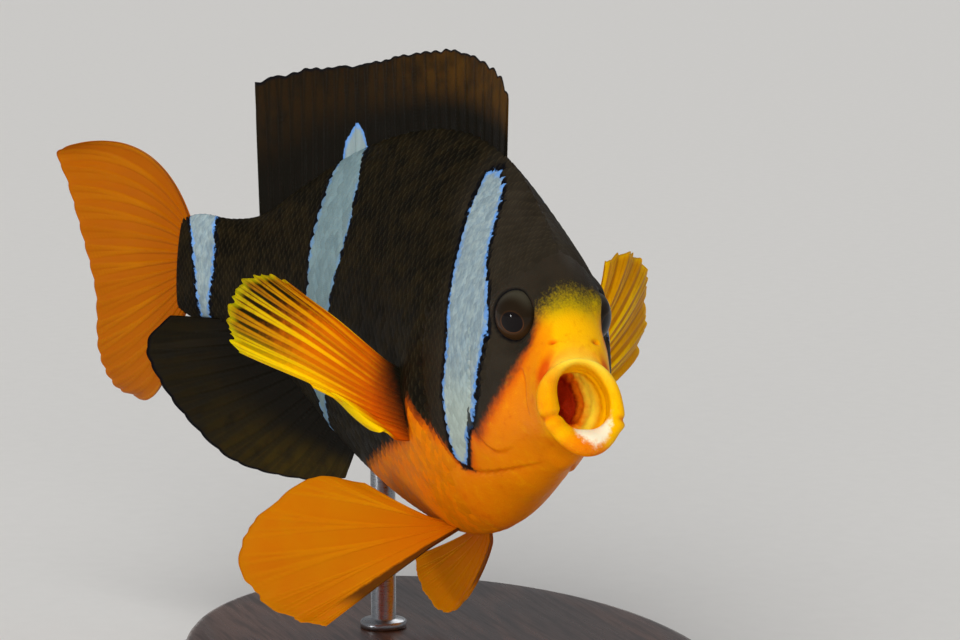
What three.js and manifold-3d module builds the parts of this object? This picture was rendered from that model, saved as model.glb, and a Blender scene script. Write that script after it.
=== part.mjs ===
// Clark's anemonefish, life size, as a still museum model on a display stand.
// Millimetres, +Z up, the fish faces +X. The origin is the centre of the base's underside.
// Shapes are drawn on a straight fish, in percent of its standard length, and then bent.
import * as THREE from "three";
import { mergeVertices } from "three/addons/utils/BufferGeometryUtils.js";
import Module from "manifold-3d";

// ---------------------------------------------------------------- driving dimensions
const STANDARD_LENGTH = 90; // snout to the end of the backbone, mm
const PC = STANDARD_LENGTH / 100; // one percent of it, mm
const GAP = 0.3; // between pieces that meet, mm
const FIN_ROOT = 1.6; // how deep a fin starts under the skin, percent
const LEAN = THREE.MathUtils.degToRad(-3.4); // bank, the back leaning to the fish's left
const NOSE_DOWN = THREE.MathUtils.degToRad(1.2);

// The backbone turns to the fish's right behind the head.
const BEND = { from: 22, to: 86, body: 27.5, end: 128, tail: 8 }; // stations, and degrees

// Body outline against station: height of the back, of the belly, and half the width.
const BACK = [[2.5, 3.4], [6, 7.8], [11, 12.1], [18, 16.6], [27, 20.9], [36, 23.4], [46, 24.6],
  [58, 23.5], [70, 19.6], [80, 14], [88, 9], [94, 7.6], [100, 7.6], [104, 6.6]];
const BELLY = [[2.5, -8.3], [6, -10.9], [11, -14], [18, -18.2], [27, -22.7], [36, -25.2], [46, -25.7],
  [58, -23.8], [70, -19], [80, -13], [88, -8.8], [94, -7.4], [100, -7.4], [104, -6.4]];
const HALF_WIDTH = [[2.5, 4.8], [6, 5.2], [9, 5.9], [12, 7.1], [15, 8.3], [19, 9.4], [27, 10.6],
  [38, 11.2], [50, 10.5], [62, 8.7], [74, 6], [84, 3.9], [92, 2.7], [100, 2], [104, 0.9]];
const WAIST = [[2, -2.4], [15, -1.5], [40, 0.5], [100, 0]]; // height of the widest place
const RIDGE_UP = [[2, 1], [9, 1.05], [14, 1.2], [20, 1.6], [28, 1.9], [55, 1.8], [85, 1.2]];
const RIDGE_DOWN = [[2, 1], [20, 1.05], [50, 1.3], [85, 1.1]]; // above 1 sharpens the edge

// Mouth: an open ring of lips on an axis that points forward and a little up.
const MOUTH = { station: 1.8, height: -2.7, tilt: 12, gape: 3.7, tall: 1.25, lip: 0.85, depth: 9.5 };
const POCKET = [[0, 1.2], [1.4, 2.9], [4.5, 3.6], [8, 3.7]]; // forward from its end, and radius
const POCKET_TALL = 1.1; // its height over its width

// The eyes look forward and up by these degrees, and lie sunk in the head.
const EYE = { station: 11.8, side: 5.5, height: 6.3, radius: 3, depth: 2.2, forward: 36, up: 4,
  sunk: 1.1 };
const EYE_SIDES = [16, 9];

// The gill cover lies between two arcs about one centre, its ends rounded by a third.
const GILL = { station: 8, height: -1, radius: 22, front: 13.2, thick: 1.6 }; // thick in mm
const COVER = { station: 24, height: -3.5, radius: 12.4 };
const TAIL_FROM = 80; // station where the trunk ends and the tail stalk begins

// The jaws are cut from the head along these lines of (station, up).
const UPPER_JAW = { under: -3.9, back: 2.4, top: 3.4 };
const LOWER_JAW = { over: -4.2, corner: 2.4, back: [10.4, -8.6], under: [8.2, -22] };

// ---------------------------------------------------------------- curves and the bend
// A smooth curve through [x, value] pairs.
function curve(table, x) {
  const last = table.length - 1;
  if (x <= table[0][0]) return table[0][1];
  if (x >= table[last][0]) return table[last][1];
  const i = table.findIndex((p) => p[0] > x) - 1;
  const slope = (a, b) => (table[b][1] - table[a][1]) / (table[b][0] - table[a][0]);
  const m0 = slope(Math.max(i - 1, 0), i + 1);
  const m1 = slope(i, Math.min(i + 2, last));
  const w = table[i + 1][0] - table[i][0];
  const t = (x - table[i][0]) / w;
  return (2 * t ** 3 - 3 * t ** 2 + 1) * table[i][1] + (t ** 3 - 2 * t ** 2 + t) * w * m0 +
    (3 * t ** 2 - 2 * t ** 3) * table[i + 1][1] + (t ** 3 - t ** 2) * w * m1;
}

const lerp = THREE.MathUtils.lerp;
const ease = (x, a, b) => THREE.MathUtils.smoothstep(x, a, b);

// Turn of the backbone at a station, in radians.
const turn = (s) => THREE.MathUtils.degToRad(
  BEND.body * ease(s, BEND.from, BEND.to) +
  BEND.tail * THREE.MathUtils.clamp((s - BEND.to) / (BEND.end - BEND.to), 0, 1));

// The backbone: where each station lies once the fish is bent.
const SPINE_STEP = 0.5;
const spine = [[-12, 12, 0]];
for (let s = -12; s < 140; s += SPINE_STEP) {
  const [, x, y] = spine.at(-1);
  const angle = turn(s + SPINE_STEP / 2);
  spine.push([s + SPINE_STEP, x - SPINE_STEP * Math.cos(angle), y - SPINE_STEP * Math.sin(angle)]);
}

// A point of the straight fish (station, left, up), in percent, to the bent fish in mm.
function bent(s, left, up) {
  const at = THREE.MathUtils.clamp((s + 12) / SPINE_STEP, 0, spine.length - 2);
  const i = Math.floor(at);
  const x = lerp(spine[i][1], spine[i + 1][1], at - i);
  const y = lerp(spine[i][2], spine[i + 1][2], at - i);
  const angle = turn(s);
  return new THREE.Vector3(x - left * Math.sin(angle), y + left * Math.cos(angle), up)
    .multiplyScalar(PC);
}

// ---------------------------------------------------------------- solids
const wasm = await Module();
wasm.setup();

// A geometry as a solid, its faces turned outwards whichever way they were wound.
function solid(geometry) {
  const bare = geometry.index ? geometry.toNonIndexed() : geometry.clone();
  bare.deleteAttribute("normal");
  bare.deleteAttribute("uv");
  const merged = mergeVertices(bare, 1e-4);
  const vertProperties = merged.attributes.position.array;
  const triVerts = new Uint32Array(merged.index.array);
  const made = new wasm.Manifold(new wasm.Mesh({ numProp: 3, vertProperties, triVerts }));
  if (made.volume() > 0) return made;
  triVerts.reverse();
  return new wasm.Manifold(new wasm.Mesh({ numProp: 3, vertProperties, triVerts }));
}

function geometryOf(manifold) {
  const { numProp, numVert, vertProperties, triVerts } = manifold.getMesh();
  const position = new Float32Array(numVert * 3);
  for (let i = 0; i < numVert; i++)
    position.set(vertProperties.subarray(i * numProp, i * numProp + 3), i * 3);
  const geometry = new THREE.BufferGeometry()
    .setAttribute("position", new THREE.BufferAttribute(position, 3))
    .setIndex(new THREE.BufferAttribute(triVerts.slice(), 1))
    .toNonIndexed();
  geometry.computeVertexNormals();
  return geometry;
}

// The largest body of a cut piece, without the crumbs that a cut can leave.
function largest(manifold) {
  return manifold.decompose().reduce((a, b) => (b.volume() > a.volume() ? b : a));
}

function geometryFrom(points, faces) {
  const geometry = new THREE.BufferGeometry();
  geometry.setAttribute("position",
    new THREE.Float32BufferAttribute(points.flatMap((p) => [p.x, p.y, p.z]), 3));
  return geometry.setIndex(faces.flat());
}

// Closed skin over rings of points, each end shut by a point.
function loft(start, rings, end) {
  const n = rings[0].length;
  const points = [start, ...rings.flat(), end];
  const faces = [];
  const at = (i, j) => 1 + i * n + (j % n);
  for (let j = 0; j < n; j++) {
    faces.push([0, at(0, j + 1), at(0, j)]);
    for (let i = 0; i + 1 < rings.length; i++) {
      faces.push([at(i, j), at(i, j + 1), at(i + 1, j + 1)]);
      faces.push([at(i, j), at(i + 1, j + 1), at(i + 1, j)]);
    }
    faces.push([points.length - 1, at(rings.length - 1, j), at(rings.length - 1, j + 1)]);
  }
  return geometryFrom(points, faces);
}

// Closed plate about a middle surface middle(u, v), as thick as thick(u, v), all in mm.
function plate(middle, thick, nu, nv) {
  const points = [];
  const side = (sign) => {
    for (let i = 0; i <= nu; i++)
      for (let j = 0; j <= nv; j++) {
        const u = i / nu, v = j / nv, e = 1e-3;
        const du = middle(Math.min(u + e, 1), v).sub(middle(Math.max(u - e, 0), v));
        const dv = middle(u, Math.min(v + e, 1)).sub(middle(u, Math.max(v - e, 0)));
        const normal = du.cross(dv).normalize();
        points.push(middle(u, v).addScaledVector(normal, sign * thick(u, v) / 2));
      }
  };
  side(1);
  side(-1);
  const layer = (nu + 1) * (nv + 1);
  const at = (i, j, k) => k * layer + i * (nv + 1) + j;
  const faces = [];
  const quad = (a, b, c, d) => faces.push([a, b, c], [a, c, d]);
  for (let i = 0; i < nu; i++)
    for (let j = 0; j < nv; j++) {
      quad(at(i, j, 0), at(i + 1, j, 0), at(i + 1, j + 1, 0), at(i, j + 1, 0));
      quad(at(i, j, 1), at(i, j + 1, 1), at(i + 1, j + 1, 1), at(i + 1, j, 1));
    }
  for (let i = 0; i < nu; i++) {
    quad(at(i, 0, 1), at(i + 1, 0, 1), at(i + 1, 0, 0), at(i, 0, 0));
    quad(at(i, nv, 0), at(i + 1, nv, 0), at(i + 1, nv, 1), at(i, nv, 1));
  }
  for (let j = 0; j < nv; j++) {
    quad(at(0, j, 0), at(0, j + 1, 0), at(0, j + 1, 1), at(0, j, 1));
    quad(at(nu, j, 1), at(nu, j + 1, 1), at(nu, j + 1, 0), at(nu, j, 0));
  }
  return solid(geometryFrom(points, faces));
}

// ---------------------------------------------------------------- body
const RING_POINTS = 24;

// One upright section of the body, in percent, with its walls moved out by grow.
function section(s, angle, grow = 0) {
  const c = Math.cos(angle), k = Math.sin(angle);
  const waist = curve(WAIST, s);
  const top = curve(BACK, s) - waist + grow, under = waist - curve(BELLY, s) + grow;
  const ridge = curve(k > 0 ? RIDGE_UP : RIDGE_DOWN, s);
  return [
    (curve(HALF_WIDTH, s) + grow) * Math.sign(c) * Math.abs(c) ** ridge,
    waist + k * (k > 0 ? top : under),
  ];
}

// One ring about the mouth's axis: back along it, and its radius.
function mouthRing(back, radius, tall) {
  const tilt = THREE.MathUtils.degToRad(MOUTH.tilt);
  return (angle) => {
    const up = radius * tall * Math.sin(angle);
    return [
      MOUTH.station + back * Math.cos(tilt) + up * Math.sin(tilt),
      radius * Math.cos(angle),
      MOUTH.height - back * Math.sin(tilt) + up * Math.cos(tilt),
    ];
  };
}

// The whole body as one closed skin, open-mouthed, with its walls moved out by grow, in mm.
function bodySolid(grow = 0) {
  const g = grow / PC;
  const crest = MOUTH.gape + MOUTH.lip;
  const profile = POCKET.map(([forward, radius]) =>
    [MOUTH.depth - forward + g, radius - g, POCKET_TALL]);
  for (let a = -60; a <= 90; a += 30) {
    const turned = THREE.MathUtils.degToRad(a);
    const tall = lerp(MOUTH.tall, 1, (Math.sin(turned) + 1) / 2);
    profile.push([-(MOUTH.lip + g) * Math.cos(turned),
      crest + (MOUTH.lip + g) * Math.sin(turned), tall]);
  }
  const rings = profile.map(([back, radius, tall]) => mouthRing(back, radius, tall));
  const rows = [2.8, 4.2, 6, 8.5, 11, 14, 17, 20, 23, 27, 31, 36, 41, 46, 52, 58, 64, 70, 75, 80,
    84, 88, 92, 96, 100, 103, 104];
  for (const s of rows)
    rings.push((angle) => {
      const [left, up] = section(s, angle, g);
      const lean = Math.sin(THREE.MathUtils.degToRad(MOUTH.tilt)) * (1 - ease(s, 2, 12));
      return [s + (up - MOUTH.height) * lean, left, up];
    });
  const [start, end] = [[MOUTH.depth + g, 0, MOUTH.height - 1.8], [104.5 + g, 0, 0]];
  const points = rings.map((ring) => Array.from({ length: RING_POINTS }, (_, j) =>
    bent(...ring((j / RING_POINTS) * 2 * Math.PI))));
  return solid(loft(bent(...start), points, bent(...end)));
}

// A prism through the fish from side to side: an outline in (station, up), in percent.
function prism(outline) {
  const shape = new THREE.Shape(outline.map(([s, up]) => new THREE.Vector2(-s * PC, up * PC)));
  const deep = 60 * PC;
  const made = new THREE.ExtrudeGeometry(shape, { depth: deep, bevelEnabled: false, curveSegments: 24 });
  return solid(made.translate(0, 0, -deep / 2).rotateX(Math.PI / 2));
}

function disc(s, up, radius, sides = 40) {
  return prism(Array.from({ length: sides }, (_, i) => {
    const a = (i / sides) * 2 * Math.PI;
    return [s + radius * Math.cos(a), up + radius * Math.sin(a)];
  }));
}

// Everything behind a station, square to the backbone.
function behind(s) {
  const size = 150;
  const box = new THREE.BoxGeometry(size, size, size).translate(-size / 2, 0, 0);
  const place = bent(s, 0, 0);
  return solid(box.rotateZ(turn(s)).translate(place.x, place.y, place.z));
}

const whole = bodySolid();
const clear = bodySolid(GAP); // what fins and stand keep away from

// The jaws' blocks, moved out by grow percent where they meet the head.
function jawBlocks(grow) {
  const front = -8, high = 14;
  const [backS, backUp] = LOWER_JAW.back, [underS, underUp] = LOWER_JAW.under;
  return {
    upper: prism([[front, UPPER_JAW.under - grow], [UPPER_JAW.back + grow, UPPER_JAW.under - grow],
      [UPPER_JAW.top + grow, high], [front, high]]),
    lower: prism([[front, LOWER_JAW.over + grow], [LOWER_JAW.corner, LOWER_JAW.over + grow],
      [backS + grow, backUp + grow], [underS + grow, underUp], [front, underUp]]),
  };
}

function bodyPieces() {
  const gap = GAP / PC;
  const head = whole.intersect(disc(GILL.station, GILL.height, GILL.radius));
  const rest = whole.subtract(disc(GILL.station, GILL.height, GILL.radius + gap));
  const tail = behind(TAIL_FROM);
  const band = (grow) => disc(COVER.station, COVER.height, COVER.radius + grow)
    .subtract(disc(GILL.station, GILL.height, GILL.front - grow));
  const covers = head.intersect(band(0)).subtract(bodySolid(-GILL.thick)).decompose()
    .sort((a, b) => b.volume() - a.volume()).slice(0, 2)
    .sort((a, b) => b.boundingBox().max[1] - a.boundingBox().max[1]);
  const jaws = jawBlocks(0), room = jawBlocks(gap);
  const skull = head.subtract(band(gap).subtract(bodySolid(-GILL.thick - GAP)))
    .subtract(room.upper).subtract(room.lower);
  return {
    head: largest(skull),
    jaw_upper: largest(head.intersect(jaws.upper)),
    jaw_lower: largest(head.intersect(jaws.lower)),
    gill_cover_left: covers[0],
    gill_cover_right: covers[1],
    trunk: largest(rest.subtract(tail)),
    tail_stalk: largest(rest.intersect(tail.translate([-GAP, 0, 0]))),
  };
}

// ---------------------------------------------------------------- eyes
// side is 1 on the fish's left and -1 on its right.
function eyeFrame(side) {
  const yaw = THREE.MathUtils.degToRad(EYE.forward), rise = THREE.MathUtils.degToRad(EYE.up);
  const out = new THREE.Vector3(Math.sin(yaw), side * Math.cos(yaw) * Math.cos(rise), Math.sin(rise));
  return { at: bent(EYE.station, side * EYE.side, EYE.height), out: out.normalize() };
}

function eyeball(side, grow = 0) {
  const { at, out } = eyeFrame(side);
  const radius = EYE.radius * PC + grow, depth = EYE.depth * PC + grow;
  const ball = new THREE.SphereGeometry(1, ...EYE_SIDES).rotateX(Math.PI / 2);
  ball.scale(radius, radius, depth);
  ball.applyQuaternion(new THREE.Quaternion().setFromUnitVectors(new THREE.Vector3(0, 0, 1), out));
  return solid(ball.translate(at.x, at.y, at.z).translate(...out.multiplyScalar(-EYE.sunk * PC)));
}

// ---------------------------------------------------------------- fins
const FIN_THICK = { root: 1, edge: 0.5 }; // mm
const finThick = (u, v) => lerp(FIN_THICK.root, FIN_THICK.edge, v);

// How far the edge falls back between two rays, as a part of their length.
const notch = (u, rays, depth) => depth * (1 - Math.abs(Math.cos(Math.PI * rays * u)));

// A fin in the fish's middle plane. u runs along the root and v out to the edge; root and edge
// give (station, up), swing the lean to the left, and bow the curve of a ray half way out.
function middleFin({ rays, root, edge, swing, scallop, bow = () => [0, 0], rows = 2 }) {
  const middle = (u, v) => {
    const [s0, z0] = root(u), [s1, z1] = edge(u), [bs, bz] = bow(u);
    const reach = v * (1 - notch(u, rays, scallop));
    const w = 4 * v * (1 - v);
    return bent(lerp(s0, s1, reach) + bs * w, swing(u, v), lerp(z0, z1, reach) + bz * w);
  };
  return largest(plate(middle, finThick, rays * 2, rows).subtract(clear));
}

// A paired fin: rays fan out from a short root on the side of the body, and start inside it.
const RAY_START = 0.07; // as a part of its length
function pairedFin({ root, rays, side, count, scallop, curl, rows = 4 }) {
  const axis = turn(root.station);
  const lay = (back, out, up) => new THREE.Vector3(
    -back * Math.cos(axis) - side * out * Math.sin(axis),
    -back * Math.sin(axis) + side * out * Math.cos(axis), up).multiplyScalar(PC);
  const part = (u, k) => curve(rays.map((ray) => [ray[0], ray[k]]), u);
  const middle = (u, v) => {
    const from = bent(root.station + root.slant * (u - 0.5), side * root.side,
      root.height + root.tall * (0.5 - u));
    const reach = lerp(-RAY_START, 1, v) * (1 - notch(u, count, scallop) * v);
    const along = lay(part(u, 1), part(u, 2), part(u, 3)).multiplyScalar(reach);
    const droop = curl * v * (1 - v);
    return from.add(along).add(lay(-droop, droop, 0));
  };
  return largest(plate(middle, finThick, count * 2, rows).subtract(clear));
}

// Edges run from the front or from below; each row is the place u, then station and up.
const DORSAL = { spines: 10, soft: 15, from: 33.5, to: 88.5, split: 0.44, ripple: 0.5 };
const DORSAL_EDGE = [[0, 30], [0.05, 30.4], [0.12, 33], [0.32, 34.4], [0.6, 31.4], [0.85, 28.8],
  [1, 26.6]];
const DORSAL_LEAN = [[0, 0.6], [0.2, 2.6], [0.6, 1], [1, 3]]; // rearward, from root to edge

function dorsalFin(rays, first, last) {
  const along = (u) => lerp(first, last, u);
  const station = (u) => lerp(DORSAL.from, DORSAL.to, along(u));
  return middleFin({
    rays,
    root: (u) => [station(u), curve(BACK, station(u)) - FIN_ROOT],
    edge: (u) => [station(u) + curve(DORSAL_LEAN, along(u)), curve(DORSAL_EDGE, along(u))],
    swing: (u, v) => DORSAL.ripple * v * Math.sin(along(u) * 9),
    scallop: 0.05,
  });
}

const ANAL = { rays: 14, from: 67, to: 88.5, swing: -3.6 };
const ANAL_EDGE = [[0, 69.1, -24.2], [0.12, 74.7, -25.6], [0.4, 89.7, -25.4], [0.6, 99.3, -20.6],
  [0.8, 105.5, -14.6], [0.92, 106.2, -11], [1, 101.7, -7.6]];

function analFin() {
  const edge = (k) => ANAL_EDGE.map((row) => [row[0], row[k]]);
  return middleFin({
    rays: ANAL.rays,
    root: (u) => {
      const s = lerp(ANAL.from, ANAL.to, u);
      return [s, curve(BELLY, s) + FIN_ROOT];
    },
    edge: (u) => [curve(edge(1), u), curve(edge(2), u)],
    swing: (u, v) => ANAL.swing * u * v * v,
    scallop: 0.05,
    rows: 3,
  });
}

const CAUDAL = { rays: 16, root: 102.4, tall: 6.4, twist: -4.4, cup: -1.2, spread: 4.1 };
const CAUDAL_EDGE = [[0, 115, -20.8], [0.12, 118, -19.6], [0.3, 119.6, -14.5], [0.5, 119, -5.5],
  [0.7, 121, 3.1], [0.85, 123.2, 9.7], [0.95, 124.8, 13.6], [1, 121.5, 14.9]];

function caudalFin() {
  const edge = (k) => CAUDAL_EDGE.map((row) => [row[0], row[k]]);
  const tilt = (u) => 2 * u - 1; // -1 at the lowest ray, 1 at the highest
  return middleFin({
    rays: CAUDAL.rays,
    root: (u) => [CAUDAL.root, CAUDAL.tall * tilt(u)],
    edge: (u) => [curve(edge(1), u), curve(edge(2), u)],
    swing: (u, v) => (CAUDAL.twist * tilt(u) + CAUDAL.cup * Math.sin(Math.PI * u)) * v * v,
    scallop: 0.04,
    bow: (u) => [CAUDAL.cup * tilt(u) ** 2, CAUDAL.spread * tilt(u) * Math.abs(tilt(u))],
    rows: 4,
  });
}

// Rays of the paired fins, each (place, back, out, up) from the root to its tip, in percent.
const PECTORAL = { station: 34.5, side: 9.7, height: -8.1, slant: 1.6, tall: 8.2 };
const PECTORAL_RIGHT = [[0, 11.7, 14, 9.5], [0.15, 13.5, 16.1, 11.1], [0.35, 15.6, 18.6, 11],
  [0.58, 16.2, 19.3, 8], [0.78, 14.7, 17.6, 5.5], [0.9, 10.5, 12.6, 4.8], [1, 2.6, 3.2, -0.2]];
const PECTORAL_LEFT = [[0, 4.9, 6.7, 13.3], [0.15, 8, 11.1, 15.3], [0.35, 11.1, 15.3, 14.8],
  [0.55, 12, 16.6, 11.4], [0.78, 11.5, 15.8, 7], [0.9, 8.6, 11.8, 4.6], [1, 2.6, 3.2, -0.2]];
const PELVIC = { station: 38.2, side: 2.8, height: -24.6, slant: 3, tall: -0.6 };
const PELVIC_RIGHT = [[0, 9, 12.6, -13.8], [0.2, 11, 15.6, -13.6], [0.4, 13.8, 19.6, -11.6],
  [0.55, 15.5, 22, -6.6], [0.7, 13.8, 19.7, -1], [0.85, 10, 14.2, 4.2], [1, 6, 8.4, 4]];
const PELVIC_LEFT = [[0, 11.5, 2, -11.5], [0.25, 16.5, 2.6, -14.6], [0.5, 20, 2.2, -15.2],
  [0.75, 22, 0.8, -12.6], [1, 20.5, -0.6, -8.8]];

// ---------------------------------------------------------------- stand
const BASE = { long: 92, wide: 62, thick: 7, edge: 1.2, sides: 48 }; // mm
const ROD = { radius: 1.5, station: 63.5, sides: 20 }; // mm, but the station in percent
const CLEARANCE = 2.4; // lowest fin to the top of the base, mm

function standBase() {
  const levels = [[BASE.edge / 2, 0], [0, BASE.edge / 2], [0, BASE.thick - BASE.edge],
    [BASE.edge, BASE.thick]];
  const rings = levels.map(([inset, z]) => Array.from({ length: BASE.sides }, (_, j) => {
    const a = (j / BASE.sides) * 2 * Math.PI;
    return new THREE.Vector3((BASE.long / 2 - inset) * Math.cos(a),
      (BASE.wide / 2 - inset) * Math.sin(a), z);
  }));
  return solid(loft(new THREE.Vector3(0, 0, 0), rings, new THREE.Vector3(0, 0, BASE.thick)));
}

// An upright rod from the base up to the belly, cut to fit it.
function standRod(fish) {
  const top = bent(ROD.station, 0, 0).applyMatrix4(fish.matrix);
  const foot = BASE.thick + GAP;
  const rod = new THREE.CylinderGeometry(ROD.radius, ROD.radius, top.z - foot, ROD.sides)
    .rotateX(Math.PI / 2).translate(top.x, top.y, (top.z + foot) / 2);
  return largest(solid(rod).subtract(solid(geometryOf(clear).applyMatrix4(fish.matrix))));
}

// ---------------------------------------------------------------- assembly
const BLACK = { color: 0x14110f, roughness: 0.45 };
const ORANGE = { color: 0xe8860c, roughness: 0.5 };
const YELLOW = { color: 0xf2b705, roughness: 0.5 };
const DARK_EYE = { color: 0x1c1512, roughness: 0.1 };
const WOOD = { color: 0x4a2c18, roughness: 0.5 };
const STEEL = { color: 0xb9bcc0, roughness: 0.3, metalness: 1 };
const SIDES = [["left", 1], ["right", -1]];

function add(group, name, manifold, look) {
  const mesh = new THREE.Mesh(geometryOf(manifold), new THREE.MeshStandardMaterial(look));
  mesh.name = name;
  group.add(mesh);
}

const fish = new THREE.Group();
const pieces = bodyPieces();
for (const [name, side] of SIDES) {
  const room = eyeball(side, GAP);
  for (const node of ["head", "gill_cover_" + name])
    pieces[node] = largest(pieces[node].subtract(room));
  add(fish, "eye_" + name, eyeball(side), DARK_EYE);
}
for (const name of ["head", "trunk", "tail_stalk", "gill_cover_left", "gill_cover_right"])
  add(fish, name, pieces[name], BLACK);
add(fish, "jaw_upper", pieces.jaw_upper, YELLOW);
add(fish, "jaw_lower", pieces.jaw_lower, ORANGE);
add(fish, "dorsal_fin_spiny", dorsalFin(DORSAL.spines, 0, DORSAL.split - 0.005), BLACK);
add(fish, "dorsal_fin_soft", dorsalFin(DORSAL.soft, DORSAL.split + 0.005, 1), BLACK);
add(fish, "anal_fin", analFin(), BLACK);
add(fish, "caudal_fin", caudalFin(), ORANGE);
for (const [name, side] of SIDES) {
  add(fish, "pectoral_fin_" + name, pairedFin({ root: PECTORAL, side, count: 10, scallop: 0.05,
    curl: 3, rays: side > 0 ? PECTORAL_LEFT : PECTORAL_RIGHT }), YELLOW);
  add(fish, "pelvic_fin_" + name, pairedFin({ root: PELVIC, side, count: 6, scallop: 0.03,
    curl: 2, rays: side > 0 ? PELVIC_LEFT : PELVIC_RIGHT }), ORANGE);
}

// The fish banks as it turns, and stands over the middle of its base.
fish.rotation.set(LEAN, NOSE_DOWN, 0, "ZYX");
const middle = bent(47, 0, 0).applyEuler(fish.rotation);
const lowest = new THREE.Box3().setFromObject(fish, true).min.z;
fish.position.set(-middle.x, -middle.y, BASE.thick + CLEARANCE - lowest);
fish.updateMatrix();

const model = new THREE.Group();
model.add(fish);
add(model, "stand_base", standBase(), WOOD);
add(model, "stand_rod", standRod(fish), STEEL);

export default model;
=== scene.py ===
"""Clark's anemonefish as a life-size museum model: skin, scales, eyes, fins and stand.

Shapes are drawn on a straight fish, in percent of its standard length, and then bent.
A station runs rearward from the snout, left is the fish's left, and up is up.
"""
import functools
import math
from types import SimpleNamespace

import bpy
import numpy as np
from bpy.props import FloatProperty, FloatVectorProperty, IntProperty, PointerProperty
from mathutils import Matrix, Vector


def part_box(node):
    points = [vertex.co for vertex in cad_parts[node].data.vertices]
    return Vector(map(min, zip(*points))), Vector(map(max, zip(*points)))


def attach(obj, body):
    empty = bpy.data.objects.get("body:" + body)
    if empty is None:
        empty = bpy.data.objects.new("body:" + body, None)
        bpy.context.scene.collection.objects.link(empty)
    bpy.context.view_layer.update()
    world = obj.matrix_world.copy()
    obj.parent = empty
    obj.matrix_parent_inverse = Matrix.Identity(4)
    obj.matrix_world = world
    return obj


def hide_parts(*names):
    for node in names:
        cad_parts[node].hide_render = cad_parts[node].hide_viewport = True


bl_info = {
    "name": "Anemonefish model",
    "version": (1, 0, 0),
    "blender": (4, 5, 0),
    "location": "View3D > Sidebar > Anemonefish",
    "description": "Builds the skin, scales, eyes, fins and stand of a museum fish",
    "category": "Add Mesh",
}

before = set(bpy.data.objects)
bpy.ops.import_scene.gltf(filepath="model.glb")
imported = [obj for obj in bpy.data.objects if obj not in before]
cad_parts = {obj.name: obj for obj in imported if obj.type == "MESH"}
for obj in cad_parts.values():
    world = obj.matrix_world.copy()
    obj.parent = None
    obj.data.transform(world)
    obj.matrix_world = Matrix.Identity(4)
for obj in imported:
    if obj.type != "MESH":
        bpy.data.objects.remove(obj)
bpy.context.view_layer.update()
BODY = "root"
MM = 0.001
PI = math.pi

# ---------------------------------------------------------------- sizes, as in the solids
PC = 0.9  # one percent of the standard length, mm
LEAN, NOSE_DOWN = math.radians(-3.4), math.radians(1.2)
BEND = dict(start=22, to=86, body=27.5, end=128, tail=8)
BACK = ((2.5, 3.4), (6, 7.8), (11, 12.1), (18, 16.6), (27, 20.9), (36, 23.4), (46, 24.6), (58, 23.5),
        (70, 19.6), (80, 14), (88, 9), (94, 7.6), (100, 7.6), (104, 6.6))
BELLY = ((2.5, -8.3), (6, -10.9), (11, -14), (18, -18.2), (27, -22.7), (36, -25.2), (46, -25.7),
         (58, -23.8), (70, -19), (80, -13), (88, -8.8), (94, -7.4), (100, -7.4), (104, -6.4))
HALF_WIDTH = ((2.5, 4.8), (6, 5.2), (9, 5.9), (12, 7.1), (15, 8.3), (19, 9.4), (27, 10.6), (38, 11.2),
              (50, 10.5), (62, 8.7), (74, 6), (84, 3.9), (92, 2.7), (100, 2), (104, 0.9))
WAIST = ((2, -2.4), (15, -1.5), (40, 0.5), (100, 0))
RIDGE_UP = ((2, 1), (9, 1.05), (14, 1.2), (20, 1.6), (28, 1.9), (55, 1.8), (85, 1.2))
RIDGE_DOWN = ((2, 1), (20, 1.05), (50, 1.3), (85, 1.1))
MOUTH = dict(station=1.8, height=-2.7, tilt=math.radians(12), gape=3.7, tall=1.25, lip=0.85,
             depth=9.5)
EYE = dict(station=11.8, side=5.5, height=6.3, depth=2.2, forward=math.radians(36),
           up=math.radians(4), sunk=1.1)
EYE_SHIFT = (0.5, -0.2)  # rearward and up, from the solid eye to the one that shows
GLOBE = 3.06  # radius of the eye that shows
MUZZLE_ASIDE = 0.72  # the open mouth is drawn a little to the right

# ---------------------------------------------------------------- markings, in percent
FAR = 9.0  # a marking's distance is kept within this, positive inside it
# White bars: each row is a height and the stations of the bar's front and rear edge there.
HEAD_BAR = ((-13.5, 21.6, 22.7), (-12.5, 20.9, 23.2), (-11.6, 20.2, 23.5), (-10, 19.3, 23.5),
            (-8.5, 18.2, 23.5), (-7.4, 16.8, 23.5), (-4.7, 15.9, 23.6), (-2.8, 15.6, 23.1),
            (0.6, 15.1, 22.8), (3.9, 15.2, 23.8), (6.2, 16.2, 25), (8.4, 17.8, 26), (11, 20.8, 27.4),
            (12.8, 22.4, 28.6), (14.7, 24, 30.1), (16.7, 25.8, 31.6), (18.5, 27.6, 32.6),
            (19.8, 29.3, 33.4), (20.4, 30.6, 33.7), (20.9, 31.9, 33.4))
MID_BAR = ((-18.2, 70.2, 70.6), (-15.8, 69.2, 70.6), (-13.8, 68, 70.5), (-10.8, 66.9, 71.6),
           (-4, 65, 71.8), (2, 63.6, 71.4), (4.9, 62.7, 71.7), (7.5, 62.1, 71.9), (10.8, 62.1, 71.9),
           (13.8, 63.3, 72.2), (16.2, 64.7, 72.7), (18.6, 66.6, 73.2), (20.4, 68.4, 72.6),
           (22, 69.4, 71.6), (22.9, 70.4, 70.8))
TAIL_BAR = ((-12, 96.4, 98.2), (-5.6, 96.4, 98.3), (0, 95, 98.9), (4, 95.3, 100.3),
            (6.9, 96.8, 102.4), (14, 97, 102.6))
# The narrow dark wedge that splits the lower end of the head bar, as (height, front, rear).
WEDGE = ((-9.2, 17.4, 18.6), (-8, 17.15, 18.1), (-6.5, 17.35, 17.8), (-5.4, 17.45, 17.5))
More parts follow.
